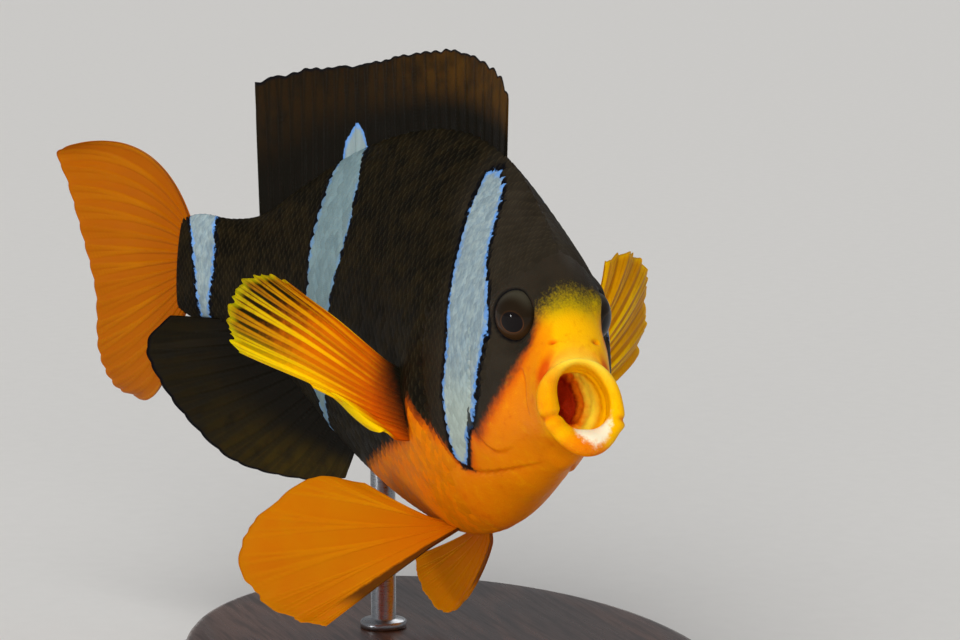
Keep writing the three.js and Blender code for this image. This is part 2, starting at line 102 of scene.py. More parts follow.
# The pale seam above the wedge, as (height, station).
SEAM = ((-5.6, 17.45), (-3.6, 17), (-1, 17.1), (1.2, 17.5), (3.3, 18.5), (6, 19.1))
# The orange face and breast, as an outline of (station, up).
FACE = ((-10, 14), (4, 14), (9.1, 10.4), (9.2, 9.3), (9.2, 8), (8.9, 6.3), (8.2, 4.2), (7.9, 3.3),
        (8.5, 2), (9, 0.6), (9.8, -0.8), (10.6, -2.1), (12.2, -4.4), (14.3, -6.9), (15.8, -8.7),
        (16.9, -9.4), (17.6, -8.7), (18.2, -8.6), (19, -9.9), (19.7, -11.5), (20.4, -12.8),
        (21.2, -13.7), (22.3, -13.9), (23.6, -13.1), (24.6, -11.9), (26.9, -11.1), (29.1, -10.4),
        (31.4, -9.3), (32.5, -8), (33.1, -7.7), (33.8, -9), (34.6, -10.8), (36, -12.2), (38, -13),
        (40.5, -13.8), (48.8, -16.5), (58.7, -20.4), (64, -24), (66, -30), (-10, -30))
# Free edge of the gill cover, from its top down and forward along the throat.
GILL_EDGE = ((26.2, 9.6), (28.4, 6.4), (29.6, 2), (29.9, -2), (29.2, -6), (27.6, -9.8),
             (24.6, -12.7), (21.3, -14.1), (18.6, -14.2), (14.9, -13.3), (11.6, -12.3), (8.7, -11.4),
             (6.2, -10.5))
CHEEK_EDGE = ((18.8, 4.5), (18.5, 3.3), (17.4, 1.2), (16.8, -2.3), (16.8, -4.7), (17.2, -6.9),
              (16.6, -8.6), (15.9, -9.6), (15, -10.4), (13.6, -10.6), (11.6, -9.7), (10, -8.6))
JAW_EDGE = ((9.4, 0.2), (8.6, 0.5), (7.9, 0.1), (7, -1.2), (6.5, -3), (6, -4.3), (5, -5.2))


# ---------------------------------------------------------------- curves and the bend
def hermite(xs, ys, x):
    """A smooth curve through the values ys at xs; ys may be whole rings of points."""
    last = len(xs) - 1
    x = np.clip(x, xs[0], xs[-1])
    i = np.clip(np.searchsorted(xs, x, side="right") - 1, 0, last - 1)
    grow = (...,) + (None,) * (ys.ndim - 1)

    def slope(a, b):
        return (ys[b] - ys[a]) / (xs[b] - xs[a])[grow]

    m0, m1 = slope(np.maximum(i - 1, 0), i + 1), slope(i, np.minimum(i + 2, last))
    w = (xs[i + 1] - xs[i])[grow]
    t = ((x - xs[i]) / (xs[i + 1] - xs[i]))[grow]
    return ((2 * t**3 - 3 * t**2 + 1) * ys[i] + (t**3 - 2 * t**2 + t) * w * m0
            + (3 * t**2 - 2 * t**3) * ys[i + 1] + (t**3 - t**2) * w * m1)


def curve(table, x):
    """The smooth curve through a table's rows of (x, value)."""
    table = np.array(table, float)
    x = np.asarray(x, float)
    return hermite(table[:, 0], table[:, 1], x.ravel()).reshape(x.shape)


def ease(x, a, b):
    """From 0 at a to 1 at b, smooth at both ends."""
    t = np.clip((np.asarray(x, float) - a) / (b - a), 0, 1)
    return t * t * (3 - 2 * t)


def hump(x, middle, width):
    return np.exp(-(((x - middle) / width) ** 2))


def lerp(a, b, t):
    return a + (b - a) * t


def turn(s):
    """The backbone's turn at a station, in radians."""
    tail = np.clip((np.asarray(s, float) - BEND["to"]) / (BEND["end"] - BEND["to"]), 0, 1)
    return np.radians(BEND["body"] * ease(s, BEND["start"], BEND["to"]) + BEND["tail"] * tail)


# The bent backbone, from well before the snout to beyond the tail, in short steps.
SPINE_AHEAD, SPINE_END, SPINE_STEP = 12, 140, 0.1
SPINE_S = np.arange(-SPINE_AHEAD, SPINE_END, SPINE_STEP)
_turns = turn(SPINE_S[:-1] + SPINE_STEP / 2)
SPINE_X = SPINE_AHEAD - np.concatenate([[0], np.cumsum(SPINE_STEP * np.cos(_turns))])
SPINE_Y = -np.concatenate([[0], np.cumsum(SPINE_STEP * np.sin(_turns))])


def bent(s, left, up):
    """A point of the straight fish, in percent, to the bent fish, in mm."""
    s, left, up = np.broadcast_arrays(*(np.asarray(v, float) for v in (s, left, up)))
    angle = turn(s)
    x = np.interp(s, SPINE_S, SPINE_X) - left * np.sin(angle)
    y = np.interp(s, SPINE_S, SPINE_Y) + left * np.cos(angle)
    return np.stack([x, y, up], -1) * PC


def eye_axes(side, shift=EYE_SHIFT):
    """An eye's place in mm, and its outward, upward and rearward directions."""
    out = np.array([math.sin(EYE["forward"]),
                    side * math.cos(EYE["forward"]) * math.cos(EYE["up"]), math.sin(EYE["up"])])
    out /= np.linalg.norm(out)
    up = np.array([0, 0, 1]) - out * out[2]
    up /= np.linalg.norm(up)
    at = bent(EYE["station"] + shift[0], side * EYE["side"], EYE["height"] + shift[1])
    return at, out, up, np.cross(up, out) * side


# The fish banks on its stand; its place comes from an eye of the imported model.
_lean = np.array([[1, 0, 0], [0, math.cos(LEAN), -math.sin(LEAN)],
                  [0, math.sin(LEAN), math.cos(LEAN)]])
_dip = np.array([[math.cos(NOSE_DOWN), 0, math.sin(NOSE_DOWN)], [0, 1, 0],
                 [-math.sin(NOSE_DOWN), 0, math.cos(NOSE_DOWN)]])
BANK = _dip @ _lean


def fish_place():
    """Where the origin of the bent fish stands, in mm, from the solid right eye."""
    low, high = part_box("eye_right")
    at, out, _, _ = eye_axes(-1, (0, 0))
    return np.array((low + high) / 2) / MM - BANK @ (at - out * EYE["sunk"] * PC)


PLACE = fish_place()


def in_world(points):
    """Points of the bent fish, in mm, to the row frame, in metres."""
    return (points @ BANK.T + PLACE) * MM


def path_distance(path, s, up):
    """Distance to a line of (station, up), how far along it that is, and which side it is on."""
    path = np.array(path, float)
    best = np.full(s.shape, 1e9)
    along, side = np.zeros(s.shape), np.zeros(s.shape)
    for k, (a, b) in enumerate(zip(path[:-1], path[1:])):
        d = b - a
        t = np.clip(((s - a[0]) * d[0] + (up - a[1]) * d[1]) / (d @ d), 0, 1)
        gap_s, gap_up = s - a[0] - t * d[0], up - a[1] - t * d[1]
        far = np.hypot(gap_s, gap_up)
        near = far < best
        best = np.where(near, far, best)
        along = np.where(near, (k + t) / (len(path) - 1), along)
        side = np.where(near, np.sign(d[1] * gap_s - d[0] * gap_up), side)
    return best, along, side


def inside_outline(outline, s, up):
    """Distance to a closed outline, positive inside it."""
    outline = np.array(outline, float)
    closed = np.vstack([outline, outline[:1]])
    far = path_distance(closed, s, up)[0]
    within = np.zeros(s.shape, bool)
    for a, b in zip(closed[:-1], closed[1:]):
        if a[1] != b[1]:
            crosses = (a[1] > up) != (b[1] > up)
            within ^= crosses & (s < a[0] + (up - a[1]) * (b[0] - a[0]) / (b[1] - a[1]))
    return np.where(within, far, -far)


def markings(s, up):
    """The attributes that colour the skin, scales and fins at places on the fish."""
    bar = np.full(s.shape, -FAR)
    for table, steep in ((HEAD_BAR, 0.85), (MID_BAR, 0.95), (TAIL_BAR, 0.95)):
        heights, front, rear = np.array(table, float).T
        inside = np.minimum(s - np.interp(up, heights, front), np.interp(up, heights, rear) - s)
        ends = np.minimum(up - heights[0], heights[-1] - up)
        bar = np.maximum(bar, np.minimum(inside * steep, ends * 0.8))
    heights, front, rear = np.array(WEDGE, float).T
    wedge = np.minimum(s - np.interp(up, heights, front), np.interp(up, heights, rear) - s)
    wedge = np.minimum(wedge, np.minimum(heights[-1] - up, up - heights[0]))
    return {
        "bar": np.clip(bar, -FAR, FAR),
        "wedge": np.clip(wedge, -FAR, FAR),
        "face": np.clip(inside_outline(FACE, s, up), -FAR, FAR),
        "gold": 1 - ease(s - 0.42 * (up + 3) + 6.5 * ease(-up, 6.2, 9), 0.5, 9.5),
        "breast": ease(s, 12, 34) * ease(-up, 8, 22),
        "crown": ease(up, 4.5, 8.5) * (1 - ease(s, 10, 16)),
        # painted shade over the middle bar, which lies farther from the light, and a lighter lower head
        # bar
        "dull": hump(s, 68, 14) - hump(s, 20, 9) * ease(-up, -2, 9),
        "brow": 1 - ease(s - 9 * ease(up, 9, 19), 21, 31),
        "seam": (hump(s, np.interp(up, *np.array(SEAM).T), 0.13) * ease(up, -6.2, -5)
                 * (1 - ease(up, 3, 6))),
    }


# ---------------------------------------------------------------- meshes
def write_fields(mesh, fields):
    """Writes attributes of the mesh's points: single numbers, or rows of three."""
    for key, values in fields.items():
        values = np.asarray(values, np.float32)
        kind, part = ("FLOAT_VECTOR", "vector") if values.ndim == 2 else ("FLOAT", "value")
        layer = mesh.attributes.get(key) or mesh.attributes.new(key, kind, "POINT")
        layer.data.foreach_set(part, values.ravel())


def read_field(mesh, name):
    layer = mesh.attributes[name]
    values = np.zeros(len(layer.data), np.float32)
    layer.data.foreach_get("value", values)
    return values.astype(float)


def mesh_object(name, points, faces, fields=None, smooth=True):
    """An object from points in metres, lists of vertex numbers and the points' attributes."""
    mesh = bpy.data.meshes.new(name)
    mesh.from_pydata([tuple(p) for p in points], [], faces)
    mesh.validate()
    write_fields(mesh, fields or {})
    if smooth:
        mesh.polygons.foreach_set("use_smooth", [True] * len(mesh.polygons))
    piece = bpy.data.objects.new(name, mesh)
    bpy.context.scene.collection.objects.link(piece)
    return piece


def finish_piece(piece, material, replaces=()):
    piece.data.materials.clear()
    piece.data.materials.append(material)
    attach(piece, BODY)
    if replaces:
        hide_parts(*replaces)


def grid_faces(rows, cols, start=0, round_about=False, flip=False):
    i, j = np.meshgrid(np.arange(rows - 1), np.arange(cols if round_about else cols - 1),
                       indexing="ij")
    k = (j + 1) % cols
    quads = np.stack([i * cols + j, (i + 1) * cols + j, (i + 1) * cols + k, i * cols + k], -1)
    quads = quads.reshape(-1, 4) + start
    return (quads[:, ::-1] if flip else quads).tolist()


def turn_outwards(mesh):
    """Flips every face if the closed mesh is inside out."""
    co = np.zeros(len(mesh.vertices) * 3, np.float32)
    mesh.vertices.foreach_get("co", co)
    co = co.reshape(-1, 3).astype(float)
    mesh.calc_loop_triangles()
    tris = np.zeros(len(mesh.loop_triangles) * 3, np.int32)
    mesh.loop_triangles.foreach_get("vertices", tris)
    a, b, c = (co[tris.reshape(-1, 3)[:, k]] for k in range(3))
    if np.einsum("ij,ij->i", a, np.cross(b, c)).sum() < 0:
        mesh.flip_normals()


def closed_rings(name, rings, first, last, fields=None):
    """A closed piece of rings round about, with a point at each end; fields are per ring point."""
    rows, cols = rings.shape[:2]
    faces = grid_faces(rows, cols, 1, round_about=True)
    end = 1 + (rows - 1) * cols
    for j in range(cols):
        k = (j + 1) % cols
        faces += [[0, 1 + j, 1 + k], [end + cols, end + k, end + j]]
    fields = {key: np.concatenate([[value[0].mean()], value.ravel(), [value[-1].mean()]])
              for key, value in (fields or {}).items()}
    piece = mesh_object(name, np.concatenate([[first], rings.reshape(-1, 3), [last]]), faces, fields)
    turn_outwards(piece.data)
    return piece


def grid_normals(points, round_about=False):
    """Unit normals of a grid of points, rows first."""
    along = np.gradient(points, axis=0)
    if round_about:
        across = (np.roll(points, -1, 1) - np.roll(points, 1, 1)) / 2
    else:
        across = np.gradient(points, axis=1)
    normal = np.cross(along, across)
    return normal / np.maximum(np.linalg.norm(normal, axis=-1, keepdims=True), 1e-12)


# ---------------------------------------------------------------- the body's surface
HALF_COLS = 120  # from the belly to the back, on each side
COLS = 2 * HALF_COLS
_part = np.arange(COLS) / HALF_COLS  # 0 at the belly, 1 at the back, up the left and down the right
SIDE = np.where(_part <= 1, 1.0, -1.0)
GIRTH = np.where(SIDE > 0, _part * 2 - 1, 3 - _part * 2)  # -1 belly, 1 back
# Stations of the body's rings: close on the head, wider behind it.
BODY_ROWS = np.concatenate([np.arange(2.8, 31, 0.17), np.arange(31.1, 104.01, 0.56)])


def section(s, angle):
    """Left and up on the body at a station, for an angle on the fish's left."""
    c, k = np.cos(angle), np.sin(angle)
    waist = curve(WAIST, s)
    ridge = np.where(k > 0, curve(RIDGE_UP, s), curve(RIDGE_DOWN, s))
    rise = np.where(k > 0, curve(BACK, s) - waist, waist - curve(BELLY, s))
    return curve(HALF_WIDTH, s) * np.abs(c) ** ridge, waist + k * rise


def body_rings(stations):
    """Rings of (-station, left, up) evenly spread round the body, and the two half girths."""
    fine = np.linspace(0, PI / 2, 121)
    rings, girths = np.zeros((len(stations), COLS, 3)), np.zeros((len(stations), 2))
    for n, s in enumerate(stations):
        for k, sign in enumerate((-1, 1)):
            left, up = section(np.full(fine.shape, s), sign * fine)
            arc = np.concatenate([[0], np.cumsum(np.hypot(np.diff(left), np.diff(up)))])
            girths[n, k] = arc[-1]
            mine = (GIRTH * sign > 0) | ((GIRTH == 0) & (sign > 0))
            place = np.abs(GIRTH[mine]) * arc[-1]
            rings[n, mine, 1] = SIDE[mine] * np.interp(place, arc, left)
            rings[n, mine, 2] = np.interp(place, arc, up)
        lean = math.sin(MOUTH["tilt"]) * (1 - ease(s, 2, 12))
        rings[n, :, 0] = -(s + (rings[n, :, 2] - MOUTH["height"]) * lean)
    return rings, girths


def mouth_ring(back, radius, tall):
    """A ring of (-station, left, up) about the mouth's axis."""
    angle = np.where(SIDE > 0, GIRTH * PI / 2, PI - GIRTH * PI / 2)
    up = radius * tall * np.sin(angle)
    tilt = MOUTH["tilt"]
    return np.stack([-(MOUTH["station"] + back * math.cos(tilt) + up * math.sin(tilt)),
                     radius * np.cos(angle),
                     MOUTH["height"] - back * math.sin(tilt) + up * math.cos(tilt)], -1)


def about_mouth(x, left, up):
    """Back along the mouth's axis, distance from it, and angle round it."""
    tilt, ahead, rise = MOUTH["tilt"], -x - MOUTH["station"], up - MOUTH["height"]
    back = ahead * math.cos(tilt) - rise * math.sin(tilt)
    high = ahead * math.sin(tilt) + rise * math.cos(tilt)
    return back, np.hypot(left, high), np.arctan2(high, np.abs(left))


# Rings of the mouth's inner wall: how far forward of its end, and radius.
THROAT = ((0.15, 0.35), (0.5, 1.9), (1.4, 2.9), (3, 3.35), (4.5, 3.6), (6.4, 3.68), (8, 3.7))
LIP_TURNS = (-60, -30, 0, 30, 60, 90, 118)  # rings round the lip, in degrees from its crest
FACE_START = (2.8, 3.3, 3.8)  # the body's first stations, which the lip runs into


def whole_surface():
    """The open-mouthed body as one grid of (-station, left, up), from the throat to the tail."""
    lip, crest = MOUTH["lip"], MOUTH["gape"] + MOUTH["lip"]
    rings = [mouth_ring(MOUTH["depth"] - forward, radius, 1.1) for forward, radius in THROAT]
    for degrees in LIP_TURNS:
        a = math.radians(degrees)
        tall = lerp(MOUTH["tall"], 1, (math.sin(a) + 1) / 2)
        rings.append(mouth_ring(-lip * math.cos(a), crest + lip * math.sin(a), tall))
    keys = np.array(rings + list(body_rings(np.array(FACE_START))[0]))
    steps = np.linalg.norm(np.diff(keys, axis=0), axis=-1).mean(1)
    at = np.concatenate([[0], np.cumsum(steps)])
    wall, face = at[len(THROAT) - 1], at[-len(FACE_START)]
    places = np.concatenate([np.arange(0, wall, 0.3), np.arange(wall, face - 0.08, 0.155)])
    front = hermite(at, keys, places)
    body, girths = body_rings(BODY_ROWS)
    return np.concatenate([front, body]), len(front), girths


def edge_step(path, s, up, ahead, behind, fade):
    """A flap's free edge along a path: raised in front of it, with a slit behind."""
    path, count = np.array(path, float), len(path)
    smooth = hermite(np.arange(count) * 1.0, path, np.arange(0, count - 0.999, 0.2))
    far, along, side = path_distance(smooth, s, up)
    strength = ease(along, fade[0], fade[1]) * (1 - ease(along, fade[2], fade[3]))
    signed = far * -side
    front = ahead * np.where(signed < 0, np.exp(signed / 1.6), 0)
    slit = -behind * np.where(signed >= 0, np.exp(-signed / 0.55), 0) * ease(signed, -0.04, 0.1)
    raised = front * (1 - ease(signed, -0.16, 0.02)) + slit
    return strength * raised, strength * hump(signed, 0.1, 0.22)


def relief(flat, rows_in_mouth, coat_depth):
    """How far the skin stands out from the solids, in percent, the painted shade in its creases, and the
    mouth's depth, which sets the painted shade inside the mouth.
    """
    s, left, up = -flat[..., 0], flat[..., 1], flat[..., 2]
    back, radius, angle = about_mouth(flat[..., 0], left, up)
    aside = left / np.maximum(radius, 0.5)
    ring = np.arange(len(flat))[:, None] - rows_in_mouth + 0 * s  # grid rows behind the lips
    on_body = ease(ring, -4, 6)
    out = -lerp(0.03, coat_depth / PC, ease(s, 12, 24))
    crease = np.zeros(s.shape)
    # gill cover, cheek and jaw edges, each with a line of painted shade in its slit
    for path, ahead, behind, shade, fade in ((GILL_EDGE, 0.1, 0.4, 0.5, (0, 0.12, 0.7, 1)),
                                             (CHEEK_EDGE, 0.12, 0.24, 0.6, (0, 0.25, 0.7, 1)),
                                             (JAW_EDGE, 0.1, 0.2, 0.6, (0, 0.3, 0.6, 1))):
        step, line = edge_step(path, s, up, ahead, behind, fade)
        out += step * on_body
        crease = np.maximum(crease, line * shade * on_body)
    # groove round the lips, deepest beside the upper lip, with painted shade in it and in the hollow
    # beside it
    groove = hump(ring, -3, 3.2) * (0.25 * ease(angle, -1.1, -0.4)
                                    + 0.75 * hump(angle, math.radians(42), 0.5))
    hollow = hump(ring, 1, 6) * hump(angle, math.radians(44), 0.3)
    out -= 0.3 * groove
    out -= 0.3 * hollow
    crease = np.maximum(crease, np.maximum(groove * 0.9, 1.35 * hollow))
    # under the lower lip, beside it on the right, the far cheek and the keel of the throat
    below = ease(ring, -18, -9) * ease(s, -1, 2)
    out -= 1.35 * hump(angle, -PI / 2, np.where(left > 0, 0.85, 0.95)) * below * (1 - ease(s, 3.5, 7))
    out += (0.5 * hump(angle, -0.75, 0.42) * ease(-left, 0.5, 2) * (1 - ease(s, 3.5, 8))
            * ease(ring, -6, 1))
    out -= 0.55 * ease(left, 4.4, 6.4) * hump(s, 12.2, 2.6) * hump(up, 2, 2.8)
    keel = ease((curve(WAIST, s) - up) / (curve(WAIST, s) - curve(BELLY, s)), 0.35, 0.9)
    out -= 0.85 * keel * ease(s, 3, 7) * (1 - ease(s, 17, 27)) * on_body
    # corners of the mouth, with a knob outside the left one, and painted shade in their creases
    corner = math.radians(-19)
    lips = ease(ring, -30, -22) * (1 - ease(ring, -3, 6))
    flank = ease(ring, -20, -13)
    out -= 0.34 * hump(angle, corner, 0.075) * lips * lerp(0.25, 1, flank)
    out += lips * flank * (0.12 * hump(angle, corner - 0.22, 0.13)
                           + 0.08 * hump(angle, corner + 0.2, 0.14))
    crease = np.maximum(crease, hump(angle, corner, 0.06) * lips * flank * 0.7)
    out += 0.6 * hump(angle, corner - 0.07, 0.17) * ease(aside, 0.3, 0.9) * hump(ring, -8, 6)
    # inner wall of the mouth: folds, the valve behind the lips, the tongue and the far wall
    inner = 1 - ease(ring, -34, -26)
    folds = (np.sin(angle * 13 + 1.3 * np.sin(back * 1.6) + back * 0.5)
             + 0.6 * np.sin(angle * 23 + back * 2.1 + 1.7 * np.sin(angle * 4)))
    facing = ease(aside, -0.3, 0.9)
    out += inner * folds * 0.12 * ease(back, 1, 2.6) * (1 - ease(back, 7.5, 9)) * (1 - 0.85 * facing)
    out += inner * (0.34 * hump(back, 0.75, 0.26) + 0.2 * hump(back, 1.7, 0.3)) * (1 - 0.45 * facing)
    out += inner * 1.5 * hump(angle, -PI / 2, 0.42) * hump(back, 6.3, 1.7)
    rings = np.cos(back * 3.6 + 1.5 * np.sin(angle * 2)) + 0.5 * np.cos(back * 8.3 + angle)
    out += inner * facing * (1.5 * ease(back, 0.3, 5.8) + 0.07 * rings * ease(back, 1.8, 2.8))
    # nostril: a short-rimmed pit on each side of the snout, with painted shade in it
    away = np.hypot(s - 5.3, (up - 4.1) * 1.1) + 9 * (radius < 3.6)
    out += on_body * (0.1 * hump(away, 0.5, 0.2) - 0.5 * hump(away, 0, 0.27))
    crease = np.maximum(crease, on_body * hump(away, 0, 0.3))
    # the fleshy bases of the pectoral fins
    lobe = np.exp(-(((s - 33.2) / 2.7) ** 2) - ((up + 8) / 4.6) ** 2)
    out += 0.85 * lobe - 0.25 * hump(s, 29.4, 1.2) * hump(up, -7, 5)
    # soft swellings over bone and muscle
    out += on_body * 0.1 * np.sin(s * 0.55 + 1) * hump(up, 1, 7) * (1 - ease(s, 14, 24))
    # the lips are thick on the inside, most of all at the bottom
    thick = ease(ring, -34, -23) * (1 - ease(ring, -19, -9)) * (1 - 0.25 * hump(angle, corner, 0.12))
    out += thick * ((0.55 - 0.5 * aside) * np.cos(angle) ** 2 + 1.9 * hump(angle, -PI / 2, 0.85)
                    + 0.15 * hump(angle, PI / 2, 0.6))
    # painted shade inside the mouth: more of it deeper in and towards the fish's right, the near side
    depth = inner * (ease(back, 1.5, 9.3) + 0.055 * (2.8 - left) * ease(back, 2, 5))
    return out, np.clip(crease, 0, 1), depth, inner


def globe_height(r):
    """How far an eyeball stands out at a distance from its axis, in percent."""
    return -EYE["sunk"] + EYE["depth"] * np.sqrt(1 - (r / GLOBE) ** 2)


def seat_eyes(points):
    """Shapes the skin round the eyes: it slips under each eyeball and rises to a rim, with a dark ring,
    partly painted shade, where it meets the eyeball.
    """
    shade = np.zeros(points.shape[:-1])
    for side in (1, -1):
        at, out, _, rearward = eye_axes(side)
        away = (points - at) / PC
        axial = away @ out
        r = np.linalg.norm(away - axial[..., None] * out, axis=-1)
        near = (r < 5.4) & (np.abs(axial) < 4) & (away[..., 1] * side > -2.5)
        ball = globe_height(np.minimum(r, 2.98))
        rim = lerp(ball - 0.32, -0.3, ease(r, 2.7, 3.15))
        goal = lerp(rim, axial, ease(r, 3.05, 5.2))
        goal = goal + 0.1 * hump(r, 3.5, 0.3) - 0.12 * hump(r, 3.06, 0.1)
        # the bony bridge of the snout stands up against the front of the eye
        bridge = ease(-(away @ rearward) / np.maximum(r, 0.5), 0.1, 0.9)
        goal = goal + (0.85 + 0.17 * side) * bridge * ease(r, 2.5, 3.1) * (1 - ease(r, 3.4, 5.2))
        points = points + np.where(near, goal - axial, 0)[..., None] * out * PC
        # the dark ring where the skin meets the eyeball: partly dark skin, partly painted shade
        ringed = 1 - ease(r + 0.3 * bridge, 3.02, 3.3)
        shade = np.maximum(shade, np.where(near, ringed, 0))
    return points, shade


class FishSurface:
    """The finished skin as a grid, with places on it looked up by station, girth and side."""

    def __init__(self, coat_depth):
        flat, self.first, self.girths = whole_surface()
        normals = grid_normals(flat, round_about=True)
        out, self.crease, self.depth, self.inner = relief(flat, self.first, coat_depth)
        flat = flat + normals * out[..., None]
        flat[..., 1] -= (MUZZLE_ASIDE * lerp(0.1, 1, ease(flat[..., 2], -7, 0))
                         * (1 - ease(-flat[..., 0], 1, 9)))
        self.flat = flat
        self.points, self.orbit = seat_eyes(bent(-flat[..., 0], flat[..., 1], flat[..., 2]))
        self.normals = grid_normals(self.points, round_about=True)

    def look(self, table, s, q, side):
        """Reads a table of the grid between its points."""
        row = np.interp(s, BODY_ROWS, np.arange(len(BODY_ROWS))) + self.first
        q = np.clip(q, -1, 1)
        col = HALF_COLS * np.where(side > 0, (q + 1) / 2, 1 + (1 - q) / 2)
        i, j = np.minimum(row.astype(int), len(self.flat) - 2), col.astype(int)
        t, u = (row - i)[..., None], (col - j)[..., None]
        j, k = j % COLS, (j + 1) % COLS
        return lerp(lerp(table[i, j], table[i, k], u), lerp(table[i + 1, j], table[i + 1, k], u), t)

    def half_girth(self, s, q):
        low, high = (np.interp(s, BODY_ROWS, girths) for girths in self.girths.T)
        return np.where(q > 0, high, low)


# ---------------------------------------------------------------- finishes
def linear(red, green, blue):
    """A screen colour from 0 to 255 as Blender's linear light."""
    return tuple(c / 12.92 if c <= 0.04045 else ((c + 0.055) / 1.055) ** 2.4
                 for c in (red / 255, green / 255, blue / 255))


class Value:
    """A node's output that can stand in plain sums, each of which makes a Math node."""

    def __init__(self, finish, socket):
        self.finish, self.socket = finish, socket

    def __add__(self, other):
        return self.finish.math("ADD", self, other)

    def __sub__(self, other):
        return self.finish.math("SUBTRACT", self, other)

    def __rsub__(self, other):
        return self.finish.math("SUBTRACT", other, self)

    def __mul__(self, other):
        return self.finish.math("MULTIPLY", self, other)


class Finish:
    """A material, built by short calls that pass node outputs about."""

    def __init__(self, name, **constants):
        self.material = bpy.data.materials.new(name)
        self.material.use_nodes = True
        self.tree = self.material.node_tree
        self.tree.nodes.clear()
        self.shader = self.tree.nodes.new("ShaderNodeBsdfPrincipled")
        output = self.tree.nodes.new("ShaderNodeOutputMaterial")
        self.tree.links.new(self.shader.outputs[0], output.inputs["Surface"])
        for socket, value in constants.items():
            self.shader.inputs[socket.replace("_", " ")].default_value = value
        self.coordinates = Value(self, self.node("ShaderNodeTexCoord").outputs["Object"])

    def put(self, socket, value):
        """Links a socket, or sets it where the value is a plain number or colour."""
        if isinstance(value, Value):
            self.tree.links.new(value.socket, socket)
        elif isinstance(value, (tuple, list)) and socket.type == "RGBA":
            socket.default_value = (*value[:3], 1)
        else:
            socket.default_value = value

    def node(self, kind, *values, **settings):
        made = self.tree.nodes.new(kind)
        for key, value in settings.items():
            setattr(made, key, value)
        for socket, value in zip(made.inputs, values):
            if value is not None:
                self.put(socket, value)
        return made

    def field(self, name):
        return Value(self, self.node("ShaderNodeAttribute", attribute_name=name).outputs["Fac"])

    def fields(self, names):
        return [self.field(name) for name in names.split()]

    def math(self, operation, a, b=0.0):
        return Value(self, self.node("ShaderNodeMath", a, b, operation=operation).outputs[0])

    def wave(self, x, often):
        return self.math("SINE", x * often)

    def step(self, x, a, b, low=0.0, high=1.0):
        made = self.node("ShaderNodeMapRange", x, a, b, low, high, interpolation_type="SMOOTHSTEP")
        return Value(self, made.outputs[0])

    def mix(self, factor, a, b, blend="MIX"):
        made = self.node("ShaderNodeMix", data_type="RGBA", blend_type=blend)
        for index, value in ((0, factor), (6, a), (7, b)):
            self.put(made.inputs[index], value)
        return Value(self, made.outputs[2])

    def stretched(self, *stretch):
        made = self.node("ShaderNodeMapping", self.coordinates, None, None, stretch)
        return Value(self, made.outputs[0])

    def texture(self, kind, size, where=None, **sockets):
        """A texture whose spots are about this many mm across."""
        made = self.node(kind)
        self.put(made.inputs["Vector"], where or self.coordinates)
        made.inputs["Scale"].default_value = 1000 / size
        for socket, value in sockets.items():
            made.inputs[socket].default_value = value
        return made

    def noise(self, size, detail, rough=0.55, where=None):
        made = self.texture("ShaderNodeTexNoise", size, where, Detail=detail, Roughness=rough)
        return Value(self, made.outputs["Fac"])

    def bump(self, height, deep):
        """Raises the surface by deep mm where height is 1."""
        made = self.node("ShaderNodeBump")
        made.inputs["Distance"].default_value = deep * MM
        self.put(made.inputs["Height"], height)
        return Value(self, made.outputs[0])

    def done(self, colour, rough, normal=None):
        for socket, value in (("Base Color", colour), ("Roughness", rough), ("Normal", normal)):
            if value is not None:
                self.put(self.shader.inputs[socket], value)
        return self.material


def marked_colour(f, tints):
    """The fish's colours from its marking attributes, with their edges roughened, and painted shade on
    the middle bar.
    """
    face, crown, breast, gold, bar, dull = f.fields("face crown breast gold bar dull")
    fine, broad, mottle = f.noise(0.55, 4), f.noise(4.5, 3), f.noise(1.3, 4, 0.65)
    dark = f.mix(f.step(f.noise(2.2, 4), 0.35, 0.7), tints.black, tints.brown)
    dark = f.mix(f.field("brow") * f.step(broad, 0.25, 0.7, 0.55, 0.9), dark, tints.umber)
    warm = f.mix(f.step(gold + (broad - 0.5) * 0.7, 0.15, 0.75), tints.orange, tints.yellow)
    warm = f.mix(breast * f.step(broad, 0.25, 0.8, 0.35, 1.0), warm, tints.rust)
    cheek = 1 - f.math("MAXIMUM", crown, breast)
    warm = f.mix(f.step(face, 1.6, 0.0, 0.0, 0.7) * cheek, warm, tints.ember)
    warm = f.mix(f.step(mottle, 0.52, 0.8, 0.0, 0.4), warm, tints.ember)
    warm = f.mix(f.step(mottle, 0.48, 0.2, 0.0, 0.35), warm, tints.yellow)
    warm = f.mix(crown * f.step(face, 3.2, 1.2), warm, tints.moss)
    specks = (f.noise(0.24, 3, 0.65) - 0.5) * 3.2
    border = face + (fine - 0.5) * 1.3 + specks * crown - crown * 0.9
    border = f.math("DIVIDE", border, crown * 0.7 + 1)
    colour = f.mix(f.step(border, -1.0, 0.8), dark, warm)
    streaks = f.noise(0.9, 5, 0.7, f.stretched(1.6, 1.6, 0.55))
    pale = f.mix(f.step(streaks, 0.32, 0.68), tints.pale, tints.pearl)
    # painted shade greys the middle bar and its blue rims to slate; the lower head bar is made lighter
    pale = f.mix(f.step(dull, 0.0, 1.0, 0.0, 0.7), pale, tints.slate)
    pale = f.mix(f.step(dull, 0.0, -1.0, 0.0, 0.8), pale, tints.fair)
    blue = f.mix(f.step(dull, 0.1, 1.0, 0.0, 0.6), tints.blue, tints.slate)
    worn = bar + (fine - 0.5) * 0.9
    colour = f.mix(f.step(worn, -0.85, -0.45), colour, tints.ink)
    colour = f.mix(f.step(worn, -0.12, 0.06), colour, f.mix(f.step(worn, 0.0, 0.6), blue, pale))
    colour = f.mix(f.field("seam") * (f.step(bar, 0.1, 0.6) * 0.7), colour, tints.fair)
    gap = f.step(f.field("wedge"), -0.1, 0.06) * f.step(bar, -1.2, 0)
    return f.mix(gap * 0.9, colour, tints.ink)


